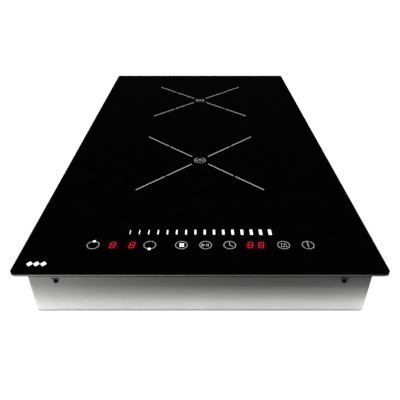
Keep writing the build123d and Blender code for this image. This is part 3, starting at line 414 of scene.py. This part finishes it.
def glass_ceramic(slot):
    """Polished black glass with a fine fingerprint haze, and a rough ground band low on its edge
    whose pale colour is a painted highlight.
    """
    finish = Finish(slot, {"IOR": 1.52, "Specular IOR Level": 0.5})
    height = finish.add("ShaderNodeSeparateXYZ", {"Vector": finish.place}).outputs["Z"]
    # the pale colour of the band low on the edge is a painted highlight; the band also gets a rough
    # ground finish
    low = GLASS_LOW.z + HIGHLIGHT_BAND_LOW
    high = GLASS_LOW.z + HIGHLIGHT_BAND_HIGH
    above = finish.remap(height, low, low + HIGHLIGHT_BAND_BLUR, 0.0, 1.0)
    below = finish.remap(height, high - HIGHLIGHT_BAND_BLUR, high, 1.0, 0.0)
    highlight_band = finish.sums("MULTIPLY", above, below)
    grinding = finish.noise((900.0, 900.0, 14000.0), 4.0)
    painted_highlight = finish.mixed(grinding, EDGE_HIGHLIGHT_DARK, EDGE_HIGHLIGHT_LIGHT)
    haze = finish.noise(60.0, 5.0)
    body = finish.mixed(haze, GLASS_DARK, GLASS_LIGHT)
    finish.into("Base Color", finish.mixed(highlight_band, body, painted_highlight))
    polish = finish.remap(haze, 0.0, 1.0, 0.025, 0.05)
    ground = finish.remap(grinding, 0.0, 1.0, 0.5, 0.62)
    blended = finish.add("ShaderNodeMapRange", {"Value": highlight_band, "To Min": polish, "To Max": ground})
    finish.into("Roughness", blended.outputs["Result"])
    finish.relief(grinding, 0.002 * MM, 0.3)
    return finish.material


def galvanised_sheet(slot):
    """Galvanised steel: a fine grain along each wall, faint spangles, a few rubbed patches, and
    painted shade along the bottom bend and close under the glass.
    """
    colour = RECORD_COLOURS[slot]
    finish = Finish(slot, {"Metallic": 0.3})
    grain = finish.noise((35.0, 35.0, 5200.0), 4.0)
    spangle = finish.cells(230.0, output="Color")
    flake = finish.add("ShaderNodeSeparateColor", {"Color": spangle}).outputs[0]
    rubbed = finish.noise((9.0, 9.0, 22.0), 4.0)
    tone = finish.mixed(grain, shade(colour, 0.93), shade(colour, 1.07))
    tone = finish.mixed(finish.remap(flake, 0.0, 1.0, 0.0, 0.14), tone, shade(colour, 0.8))
    tone = finish.mixed(finish.remap(rubbed, 0.2, 1.0, 0.0, 0.12), tone, shade(colour, 1.25))
    # painted shade: the bottom bend and the strip close under the glass are darkened as if in
    # shadow
    height = finish.add("ShaderNodeSeparateXYZ", {"Vector": finish.place}).outputs["Z"]
    over = finish.remap(height, *BEND_SHADOW_FADE_IN, 0.0, 1.0)
    under = finish.remap(height, *BEND_SHADOW_FADE_OUT, 1.0, 0.0)
    bend_shadow = finish.sums("MULTIPLY", over, under)
    tone = finish.mixed(finish.remap(bend_shadow, 0.0, 1.0, 0.0, BEND_SHADOW_DEPTH), tone, shade(colour, 0.05))
    # painted shadow of the glass's overhang on the tray's walls close under the glass
    neck_shadow = finish.remap(height, *NECK_SHADOW_FADE_IN, 0.0, NECK_SHADOW_DEPTH)
    tone = finish.mixed(neck_shadow, tone, shade(colour, 0.1))
    finish.into("Base Color", tone)
    finish.into("Roughness", finish.remap(grain, 0.0, 1.0, 0.42, 0.56))
    finish.relief(grain, 0.004 * MM, 0.35)
    return finish.material


def metal(slot, rough, grain, depth, metallic=1.0, spots=0.12):
    """Bare or plated metal with a directional grain, dull spots and a little tone change."""
    colour = RECORD_COLOURS[slot]
    finish = Finish(slot, {"Metallic": metallic})
    lines = finish.noise(grain, 4.0)
    dull = finish.noise(140.0, 5.0)
    tone = finish.mixed(lines, shade(colour, 0.88), shade(colour, 1.08))
    tone = finish.mixed(finish.remap(dull, 0.5, 1.0, 0.0, spots * 2), tone, shade(colour, 0.6))
    finish.into("Base Color", tone)
    finish.into("Roughness", finish.remap(dull, 0.0, 1.0, rough, rough + spots))
    finish.relief(lines, depth, 0.5)
    return finish.material


def plastic(slot, rough, sheen_noise=900.0, depth=0.02 * MM, fibres=False, coat=0.0):
    """Moulded plastic: an eroded mould texture, slow tone drift and, if filled, pale fibres."""
    colour = RECORD_COLOURS[slot]
    settings = {"Specular IOR Level": 0.45, "Coat Weight": coat, "Coat Roughness": 0.12}
    finish = Finish(slot, settings)
    pits = finish.cells(sheen_noise)
    drift = finish.noise(45.0, 4.0)
    tone = finish.mixed(drift, shade(colour, 0.86), shade(colour, 1.12))
    if fibres:
        strands = finish.noise((260.0, 4200.0, 2600.0), 2.0)
        tone = finish.mixed(finish.remap(strands, 0.7, 1.0, 0.0, 0.5), tone, shade(colour, 2.4))
    finish.into("Base Color", tone)
    finish.into("Roughness", finish.remap(drift, 0.0, 1.0, rough - 0.05, rough + 0.07))
    finish.relief(pits, depth, 0.4)
    return finish.material


def rubber(slot, rough, pore, depth):
    """Rubber or foam: dull, with closed pores or a moulded bloom."""
    colour = RECORD_COLOURS[slot]
    finish = Finish(slot, {"Specular IOR Level": 0.3, "Sheen Weight": 0.08, "Sheen Roughness": 0.6})
    pores = finish.cells(pore)
    bloom = finish.noise(80.0, 5.0)
    tone = finish.mixed(bloom, shade(colour, 0.75), shade(colour, 1.35))
    shaded = finish.remap(pores, 0.1, 0.6, 0.35, 0.0)
    finish.into("Base Color", finish.mixed(shaded, tone, shade(colour, 0.4)))
    finish.into("Roughness", finish.remap(bloom, 0.0, 1.0, rough - 0.08, rough + 0.06))
    finish.relief(pores, depth, 0.7)
    return finish.material


def fired(slot, rough, grit, depth, fleck=0.5):
    """Ceramic, ferrite or pressed fibre: a fine grit with darker flecks."""
    colour = RECORD_COLOURS[slot]
    finish = Finish(slot, {"Specular IOR Level": 0.4})
    grains = finish.noise(grit, 6.0)
    clouds = finish.noise(70.0, 3.0)
    tone = finish.mixed(clouds, shade(colour, 0.88), shade(colour, 1.08))
    flecks = finish.remap(grains, 0.65, 1.0, 0.0, fleck)
    finish.into("Base Color", finish.mixed(flecks, tone, shade(colour, 0.45)))
    finish.into("Roughness", finish.remap(grains, 0.0, 1.0, rough, rough + 0.15))
    finish.relief(grains, depth, 0.5)
    return finish.material


def stranded(slot, rough, metallic, pitch, depth):
    """Twisted strands or a braid: slanting ridges with a change of tone from strand to strand."""
    colour = RECORD_COLOURS[slot]
    coat = 0.25 * metallic
    finish = Finish(slot, {"Metallic": metallic, "Coat Weight": coat, "Coat Roughness": 0.25})
    strands = finish.waves((pitch, pitch * 0.7, pitch * 0.5), "DIAGONAL", 1.2)
    uneven = finish.noise(420.0, 3.0)
    tone = finish.mixed(strands, shade(colour, 0.55), shade(colour, 1.1))
    dulled = finish.remap(uneven, 0.0, 1.0, 0.0, 0.3)
    finish.into("Base Color", finish.mixed(dulled, tone, shade(colour, 0.7)))
    finish.into("Roughness", finish.remap(uneven, 0.0, 1.0, rough, rough + 0.14))
    finish.relief(strands, depth, 0.8)
    return finish.material


def circuit_board(slot):
    """Solder mask over copper tracks: raised tracks, a weave below and a thin coat."""
    colour = RECORD_COLOURS[slot]
    finish = Finish(slot, {"Coat Weight": 0.4, "Coat Roughness": 0.18})
    tracks = finish.cells((150.0, 150.0, 20.0), feature="DISTANCE_TO_EDGE")
    track = finish.remap(tracks, 0.04, 0.06, 1.0, 0.0)
    weave = finish.waves((1300.0, 1300.0, 1300.0), "X", 0.4)
    laminate = finish.mixed(weave, shade(colour, 0.8), shade(colour, 1.1))
    finish.into("Base Color", finish.mixed(track, laminate, shade(colour, 1.7)))
    finish.into("Roughness", finish.remap(finish.noise(300.0), 0.0, 1.0, 0.3, 0.42))
    finish.relief(track, 0.03 * MM, 0.6)
    finish.relief(weave, 0.006 * MM, 0.4)
    return finish.material


def laminated_iron(slot):
    """Stacked iron sheets, seen as fine level lines with a little brown scale."""
    colour = RECORD_COLOURS[slot]
    finish = Finish(slot, {"Metallic": 0.85})
    sheets = finish.waves((0.0, 0.0, 2000.0), "Z", 0.0)
    scale = finish.noise(260.0, 5.0)
    tone = finish.mixed(sheets, shade(colour, 0.5), shade(colour, 1.1))
    rust = finish.remap(scale, 0.5, 1.0, 0.0, 0.5)
    finish.into("Base Color", finish.mixed(rust, tone, (0.16, 0.09, 0.05, 1.0)))
    finish.into("Roughness", finish.remap(scale, 0.0, 1.0, 0.4, 0.6))
    finish.relief(sheets, 0.08 * MM, 0.7)
    return finish.material


def ribbed(slot, direction, pitch, rough):
    """A flat cable or shrunk tape: even ribs or turns across one axis."""
    colour = RECORD_COLOURS[slot]
    finish = Finish(slot, {"Specular IOR Level": 0.45})
    ribs = finish.waves((pitch, pitch, pitch), direction, 0.0)
    drift = finish.noise(120.0, 4.0)
    tone = finish.mixed(ribs, shade(colour, 0.62), shade(colour, 1.08))
    patchy = finish.remap(drift, 0.0, 1.0, 0.0, 0.3)
    finish.into("Base Color", finish.mixed(patchy, tone, shade(colour, 0.8)))
    finish.into("Roughness", finish.remap(drift, 0.0, 1.0, rough, rough + 0.12))
    finish.relief(ribs, 0.12 * MM, 0.7)
    return finish.material


def ink(slot, light, dark, depth=0.006 * MM):
    """Fired enamel print: a slightly uneven, satin layer with pin-prick texture."""
    finish = Finish(slot, {"Specular IOR Level": 0.35})
    screen = finish.cells(6500.0)
    drift = finish.noise(700.0, 4.0)
    finish.into("Base Color", finish.mixed(drift, grey(dark), grey(light)))
    finish.into("Roughness", finish.remap(drift, 0.0, 1.0, 0.45, 0.6))
    finish.relief(screen, depth, 0.3)
    return finish.material


def lit_red(slot):
    """Lit display segment: red light with a fine diffuser grain."""
    finish = Finish(slot, {"Roughness": 0.25, "Emission Strength": 1.0})
    grain = finish.noise(2600.0, 3.0)
    finish.into("Base Color", finish.mixed(grain, *SEGMENT_COLOURS))
    finish.into("Emission Color", finish.mixed(grain, *SEGMENT_LIGHT))
    return finish.material


def red_glow():
    """Soft red light spilling through the glass round a digit, strongest in the middle."""
    finish = Finish("red_glow", {"IOR": 1.52, "Emission Strength": 1.0})
    x, y, _ = finish.add("ShaderNodeSeparateXYZ", {"Vector": finish.place}).outputs
    flat = finish.add("ShaderNodeCombineXYZ", {"X": x, "Y": y}).outputs["Vector"]
    distance = finish.add("ShaderNodeVectorMath", {0: flat}, operation="LENGTH").outputs["Value"]
    near = finish.remap(distance, GLOW_CORE * MM, GLOW_RADIUS * MM, 1.0, 0.0)
    fall = finish.sums("POWER", near, 2.0)
    haze = finish.noise(60.0, 5.0)
    finish.into("Base Color", finish.mixed(haze, GLASS_DARK, GLASS_LIGHT))
    finish.into("Roughness", finish.remap(haze, 0.0, 1.0, 0.025, 0.05))
    finish.into("Emission Color", finish.mixed(fall, grey(0.0), GLOW_LIGHT))
    return finish.material


FINISHES = {
    "glass_ceramic": glass_ceramic("glass_ceramic"),
    "galvanised_sheet": galvanised_sheet("galvanised_sheet"),
    "circuit_board": circuit_board("circuit_board"),
    "stator_iron": laminated_iron("stator_iron"),
    "white_ink": ink("white_ink", 0.86, 0.78),
    "grey_ink": ink("grey_ink", 0.46, 0.38),
    "lit_red": lit_red("lit_red"),
    "red_glow": red_glow(),
    # metals: roughness, grain in repeats per metre along X, Y and Z, depth of the grain
    "zinc_steel": metal("zinc_steel", 0.28, (500.0, 500.0, 1800.0), 0.01 * MM),
    "black_screw": metal("black_screw", 0.38, (900.0, 900.0, 900.0), 0.01 * MM, metallic=0.7),
    "plate_film": metal("plate_film", 0.34, (60.0, 4000.0, 60.0), 0.004 * MM, metallic=0.2),
    "rolled_aluminium": metal("rolled_aluminium", 0.36, (2600.0, 25.0, 900.0), 0.005 * MM),
    "sink_aluminium": metal("sink_aluminium", 0.32, (3000.0, 20.0, 3000.0), 0.008 * MM),
    "shaft_steel": metal("shaft_steel", 0.12, (700.0, 700.0, 9000.0), 0.002 * MM, spots=0.05),
    "bearing_bronze": metal("bearing_bronze", 0.42, (2500.0, 2500.0, 2500.0), 0.02 * MM, spots=0.2),
    "enamelled_copper": stranded("enamelled_copper", 0.22, 0.9, 1100.0, 0.1 * MM),
    "litz_copper": stranded("litz_copper", 0.30, 0.85, 1500.0, 0.08 * MM),
    "coil_lead_jacket": stranded("coil_lead_jacket", 0.75, 0.0, 1900.0, 0.08 * MM),
    # moulded plastics
    "carrier_plastic": plastic("carrier_plastic", 0.55, fibres=True),
    "frame_plastic": plastic("frame_plastic", 0.5),
    "display_plastic": plastic("display_plastic", 0.22, 2500.0, 0.004 * MM, coat=0.5),
    "chip_resin": plastic("chip_resin", 0.58, 3200.0, 0.015 * MM),
    "connector_nylon": plastic("connector_nylon", 0.42, 1200.0, 0.01 * MM),
    "capacitor_box": plastic("capacitor_box", 0.3, 700.0, 0.01 * MM, coat=0.25),
    "filter_capacitor_box": plastic("filter_capacitor_box", 0.32, 700.0, 0.01 * MM, coat=0.25),
    "can_sleeve": plastic("can_sleeve", 0.26, 500.0, 0.02 * MM, coat=0.4),
    "fan_plastic": plastic("fan_plastic", 0.48, 1100.0, 0.015 * MM, fibres=True),
    "block_plastic": plastic("block_plastic", 0.46, 1000.0, 0.015 * MM),
    # rubbers and foams
    "seal_foam": rubber("seal_foam", 0.9, 2200.0, 0.15 * MM),
    "bond_silicone": rubber("bond_silicone", 0.5, 500.0, 0.05 * MM),
    "grommet_rubber": rubber("grommet_rubber", 0.68, 1500.0, 0.02 * MM),
    "buffer_rubber": rubber("buffer_rubber", 0.6, 1200.0, 0.02 * MM),
    "sensor_silicone": rubber("sensor_silicone", 0.55, 1300.0, 0.02 * MM),
    "contact_foam": rubber("contact_foam", 0.88, 1800.0, 0.12 * MM),
    "magnet_rubber": rubber("magnet_rubber", 0.62, 2600.0, 0.02 * MM),
    "lead_jacket": rubber("lead_jacket", 0.45, 900.0, 0.01 * MM),
    # ceramics and fibre
    "ferrite": fired("ferrite", 0.45, 1500.0, 0.03 * MM),
    "mica_fibre": fired("mica_fibre", 0.78, (700.0, 2400.0, 1500.0), 0.06 * MM, 0.25),
    "fuse_ceramic": fired("fuse_ceramic", 0.3, 2200.0, 0.01 * MM, 0.1),
    # ribbed and wrapped
    "ribbon_jacket": ribbed("ribbon_jacket", "X", 790.0, 0.45),
    "winding_tape": ribbed("winding_tape", "Z", 160.0, 0.3),
}


def dress_cad_nodes():
    """Gives every CAD node the finish that the record names for it."""
    for part in frame["record"]["subparts"]:
        node = frame["nodes"][part["node"]]
        for i in range(len(node.material_slots)):
            node.material_slots[i].material = FINISHES[part["material_slot"]]
        if not node.material_slots:
            node.data.materials.append(FINISHES[part["material_slot"]])


# ---------------------------------------------------------------- printed marks

def cooking_zone(name, y):
    """Four arms at 45 degrees and the coil icon between them."""
    cap = ARM_LINE / 2 * math.sqrt(0.5)
    halves = ((ARM_START, ARM_BREAK - ARM_GAP / 2), (ARM_BREAK + ARM_GAP / 2, ARM_END))
    arms = Film(0.0, y)
    for sx in (-1, 1):
        for sy in (-1, 1):
            for near, far in halves:
                start = (sx * (near + cap), sy * (near + cap))
                end = (sx * (far - cap), sy * (far - cap))
                arms.patch(capsule(start, end, ARM_LINE))
    arms.finish("cross_" + name, "grey_ink")

    icon = Film(0.0, y)
    for start, end in ICON_ARCS:
        icon.line(arc(0.0, 0.0, ICON_RADIUS, start, end), ICON_LINE)
    for sx in (-1, 1):
        for (x0, y0), (x1, y1), width in ICON_STROKES:
            icon.patch(capsule((sx * x0, y0), (sx * x1, y1), width))
        icon.line(arc(sx * ICON_COIL_X, 0.0, ICON_COIL_RADIUS, *ICON_COIL_TURN, 14), ICON_LINE)
    icon.finish("zone_icon_" + name, "grey_ink")


def power_slider():
    """Sixteen bars that grow wider from left to right."""
    bars = Film(0.0, SLIDER_Y)
    for i in range(SLIDER_BARS):
        part = i / (SLIDER_BARS - 1)
        width = SLIDER_NARROW + (SLIDER_WIDE - SLIDER_NARROW) * part
        length = SLIDER_SHORT + (SLIDER_LONG - SLIDER_SHORT) * part
        x = SLIDER_FIRST + (SLIDER_LAST - SLIDER_FIRST) * part
        bars.patch(rounded_bar(x, 0.0, width, length, BLOCK_CORNER))
    bars.finish("slider_marks", "white_ink")


def key_rings():
    """The thin ring round each touch key, open where a zone key has its dot."""
    rings = Film(0.0, KEY_Y)
    radius = KEY_RADIUS - KEY_LINE / 2
    gap = math.degrees(KEY_DOT / radius) + KEY_DOT_CLEAR
    for key, x in KEYS.items():
        if key in ZONE_DOTS:
            dot = 90 * ZONE_DOTS[key]
            rings.line(arc(x, 0.0, radius, dot + gap, dot + 360 - gap, 44), KEY_LINE)
        else:
            rings.line(circle(x, 0.0, radius), KEY_LINE, closed=True)
    rings.finish("key_rings", "grey_ink")


def key_icons():
    """The generic pictogram of each touch key."""
    solid = Film(0.0, KEY_Y)
    # the two zone keys: a dot on the ring at the zone's side
    for key, side in ZONE_DOTS.items():
        solid.patch(circle(KEYS[key], side * (KEY_RADIUS - KEY_LINE / 2), KEY_DOT, 24))
    # boost key: a filled square of four blocks
    width, height = BOOST_BLOCK
    across, along = BOOST_APART
    for sx in (-1, 1):
        for sy in (-1, 1):
            x = KEYS["boost"] + BOOST_SHIFT + sx * across
            solid.patch(rounded_bar(x, sy * along, width, height, BLOCK_CORNER))
    solid.finish("key_dots", "white_ink")

    lines = Film(0.0, KEY_Y)
    lines.line(moved(PLAY_ARROW, KEYS["play"]), STROKE, closed=True)
    lines.line(moved(CLOCK_HANDS, KEYS["clock"]), STROKE)
    strokes = (
        ("play", PLAY_BARS, STROKE),
        ("lock", LOCK_LINES, LOCK_STROKE),
        ("power", POWER_LINES, STROKE),
    )
    for key, pairs, width in strokes:
        for pair in pairs:
            lines.patch(capsule(*moved(pair, KEYS[key]), width))
    lines.finish("key_lines", "grey_ink")


def segment(film, start, end):
    """One pointed segment of a digit between two corners of the figure, leaning with the digit."""
    along = (Vector(end) - Vector(start)).normalized()
    across = Vector((-along.y, along.x))
    half = SEGMENT_WIDTH / 2
    first = Vector(start) + along * SEGMENT_GAP
    last = Vector(end) - along * SEGMENT_GAP
    corners = (
        first,
        first + (along - across) * half,
        last - (along + across) * half,
        last,
        last - (along - across) * half,
        first + (along + across) * half,
    )
    film.patch([(c.x + c.y * DIGIT_SLANT, c.y) for c in corners])


def lit_digit(name, x):
    """A figure eight of seven lit segments, with its glow under it."""
    glow = Film(x, KEY_Y, FILM_LOW, FILM_LOW + FILM_THICKNESS / 4)
    glow.patch(circle(0.0, 0.0, GLOW_RADIUS))
    glow.finish("glow_" + name, "lit_red").data.materials[0] = FINISHES["red_glow"]
    digit = Film(x, KEY_Y, FILM_LOW + FILM_THICKNESS / 2, FILM_HIGH)
    dx = (DIGIT_WIDTH - SEGMENT_WIDTH) / 2
    dy = (DIGIT_HEIGHT - SEGMENT_WIDTH) / 2
    for y in (-dy, 0.0, dy):
        segment(digit, (-dx, y), (dx, y))
    for side in (-dx, dx):
        segment(digit, (side, -dy), (side, 0.0))
        segment(digit, (side, 0.0), (side, dy))
    digit.finish("digit_" + name, "lit_red")


def maker_mark():
    """A plain generic mark: three leaning diamonds in a row."""
    mark = Film(MARK_X, MARK_Y)
    width, height = MARK_SIZE
    for i in (-1, 0, 1):
        x = i * MARK_PITCH
        mark.patch([
            (x - width / 2, 0.0),
            (x, -height / 2),
            (x + width / 2, 0.0),
            (x, height / 2),
        ])
    mark.finish("corner_mark", "white_ink")


# ---------------------------------------------------------------- stage, lights and camera

def pale_floor():
    """A plain white floor, clear from below and to the lights, so that the underside shows."""
    mesh = bmesh.new()
    bmesh.ops.create_grid(mesh, x_segments=1, y_segments=1, size=FLOOR_HALF)
    data = bpy.data.meshes.new("floor")
    mesh.to_mesh(data)
    mesh.free()
    floor = bpy.data.objects.new("floor", data)
    floor.location = (0.0, 0.0, TRAY_LOW.z - FLOOR_GAP)
    bpy.context.scene.collection.objects.link(floor)
    settings = {"Roughness": 0.9, "Specular IOR Level": 0.0, "Emission Strength": 1.0}
    finish = Finish("floor_paper", settings)
    mottle = finish.noise(3.0, 2.0)
    tone = finish.mixed(mottle, grey(0.90), grey(0.93))
    finish.into("Base Color", finish.mixed(mottle, grey(0.09), grey(0.11)))
    finish.into("Emission Color", tone)
    clear = finish.add("ShaderNodeBsdfTransparent", {}).outputs[0]
    behind = finish.add("ShaderNodeNewGeometry", {}).outputs["Backfacing"]
    choice = finish.add("ShaderNodeMixShader", {0: behind, 1: finish.shader.outputs[0], 2: clear})
    finish.tree.links.new(choice.outputs[0], finish.tree.nodes["Material Output"].inputs["Surface"])
    data.materials.append(finish.material)
    floor.visible_diffuse = False
    floor.visible_glossy = False
    floor.visible_shadow = False


def studio_world():
    """A dim, even room, darkest where the glass mirrors it. Seen directly, it is plain white."""
    world = bpy.data.worlds.new("studio")
    world.use_nodes = True
    bpy.context.scene.world = world
    tree = world.node_tree
    background = tree.nodes["Background"]
    direction = tree.nodes.new("ShaderNodeTexCoord").outputs["Generated"]
    dot = tree.nodes.new("ShaderNodeVectorMath")
    dot.operation = "DOT_PRODUCT"
    dot.inputs[1].default_value = DARK_HEADING
    tree.links.new(direction, dot.inputs[0])
    ramp = tree.nodes.new("ShaderNodeMapRange")
    ramp.interpolation_type = "SMOOTHSTEP"
    ramp.inputs["From Min"].default_value = math.cos(math.radians(DARK_OUTER))
    ramp.inputs["From Max"].default_value = math.cos(math.radians(DARK_INNER))
    ramp.inputs["To Min"].default_value = ROOM_LIGHT
    ramp.inputs["To Max"].default_value = ROOM_DARK
    tree.links.new(dot.outputs["Value"], ramp.inputs["Value"])
    level = tree.nodes.new("ShaderNodeMath")
    level.operation = "MAXIMUM"
    tree.links.new(ramp.outputs["Result"], level.inputs[0])
    tree.links.new(tree.nodes.new("ShaderNodeLightPath").outputs["Is Camera Ray"], level.inputs[1])
    tree.links.new(level.outputs[0], background.inputs["Strength"])
    background.inputs["Color"].default_value = (1.0, 1.0, 1.0, 1.0)


def light(name, kind, place, target, energy):
    """A lamp at a place, turned to its target and unseen by the camera."""
    data = bpy.data.lights.new(name, kind)
    data.energy = energy
    lamp = bpy.data.objects.new(name, data)
    lamp.location = place
    lamp.rotation_mode = "QUATERNION"
    lamp.rotation_quaternion = (Vector(target) - Vector(place)).to_track_quat("-Z", "Y")
    lamp.visible_camera = False
    bpy.context.scene.collection.objects.link(lamp)
    return lamp


def soft_sun(name, azimuth, elevation, angle, energy):
    """A distant soft light. Azimuth 0 comes from the front and 90 from the right."""
    a = math.radians(azimuth)
    e = math.radians(elevation)
    place = (math.sin(a) * math.cos(e), -math.cos(a) * math.cos(e), math.sin(e))
    lamp = light(name, "SUN", place, (0.0, 0.0, 0.0), energy)
    lamp.data.angle = math.radians(angle)
    lamp.visible_glossy = False


def floor_strip(name, place, target, length, energy):
    """A long low light beside the tray, as the bright floor throws back on its walls."""
    strip = light(name, "AREA", place, target, energy)
    strip.data.shape = "RECTANGLE"
    strip.data.size = length
    strip.data.size_y = STRIP_HEIGHT
    strip.visible_glossy = False


def lights():
    """The whole set of lamps, the same from every side but for the fill at the front left."""
    soft_sun("overhead", 0.0, OVERHEAD_ELEVATION, OVERHEAD_ANGLE, OVERHEAD)
    for name, azimuth in (("front", 0.0), ("right", 90.0), ("rear", 180.0), ("left", 270.0)):
        soft_sun("key_" + name, azimuth, KEY_ELEVATION, KEY_ANGLE, KEY)
    soft_sun("underside", 0.0, -90.0, UNDERSIDE_ANGLE, UNDERSIDE)
    z = TRAY_LOW.z + STRIP_RAISED
    wide = TRAY_HIGH.x - TRAY_LOW.x + 2 * STRIP_PAST
    deep = TRAY_HIGH.y - TRAY_LOW.y + 2 * STRIP_PAST
    front = TRAY_LOW.y - STRIP_AWAY
    rear = TRAY_HIGH.y + STRIP_AWAY
    side = TRAY_HIGH.x + STRIP_AWAY
    floor_strip("bounce_front", (0.0, front, z), (0.0, 0.0, z), wide, STRIP * wide)
    floor_strip("bounce_rear", (0.0, rear, z), (0.0, 0.0, z), wide, STRIP * wide)
    floor_strip("bounce_left", (-side, 0.0, z), (0.0, 0.0, z), deep, STRIP * deep)
    floor_strip("bounce_right", (side, 0.0, z), (0.0, 0.0, z), deep, STRIP * deep)
    fill = light("fill_left", "AREA", FILL_PLACE, (TRAY_LOW.x / 2, TRAY_LOW.y, FILL_AIM_Z), FILL)
    fill.data.size = FILL_SIZE
    fill.visible_glossy = False


def camera():
    """The camera at the photograph's viewing angle."""
    data = bpy.data.cameras.new("camera")
    data.lens = CAMERA_LENS
    data.sensor_width = CAMERA_SENSOR
    data.clip_start = 0.01
    eye = bpy.data.objects.new("camera", data)
    eye.location = CAMERA_PLACE
    eye.rotation_euler = (CAMERA_TILT, 0.0, 0.0)
    bpy.context.scene.collection.objects.link(eye)
    bpy.context.scene.camera = eye
    bpy.context.scene.view_settings.view_transform = "Standard"


# ---------------------------------------------------------------- build

dress_cad_nodes()
for zone, zone_y in ZONES.items():
    cooking_zone(zone, zone_y)
power_slider()
key_rings()
key_icons()
for number, digit_x in enumerate(ZONE_DIGITS + TIMER_DIGITS, 1):
    lit_digit(str(number), digit_x)
maker_mark()
pale_floor()
studio_world()
lights()
camera()
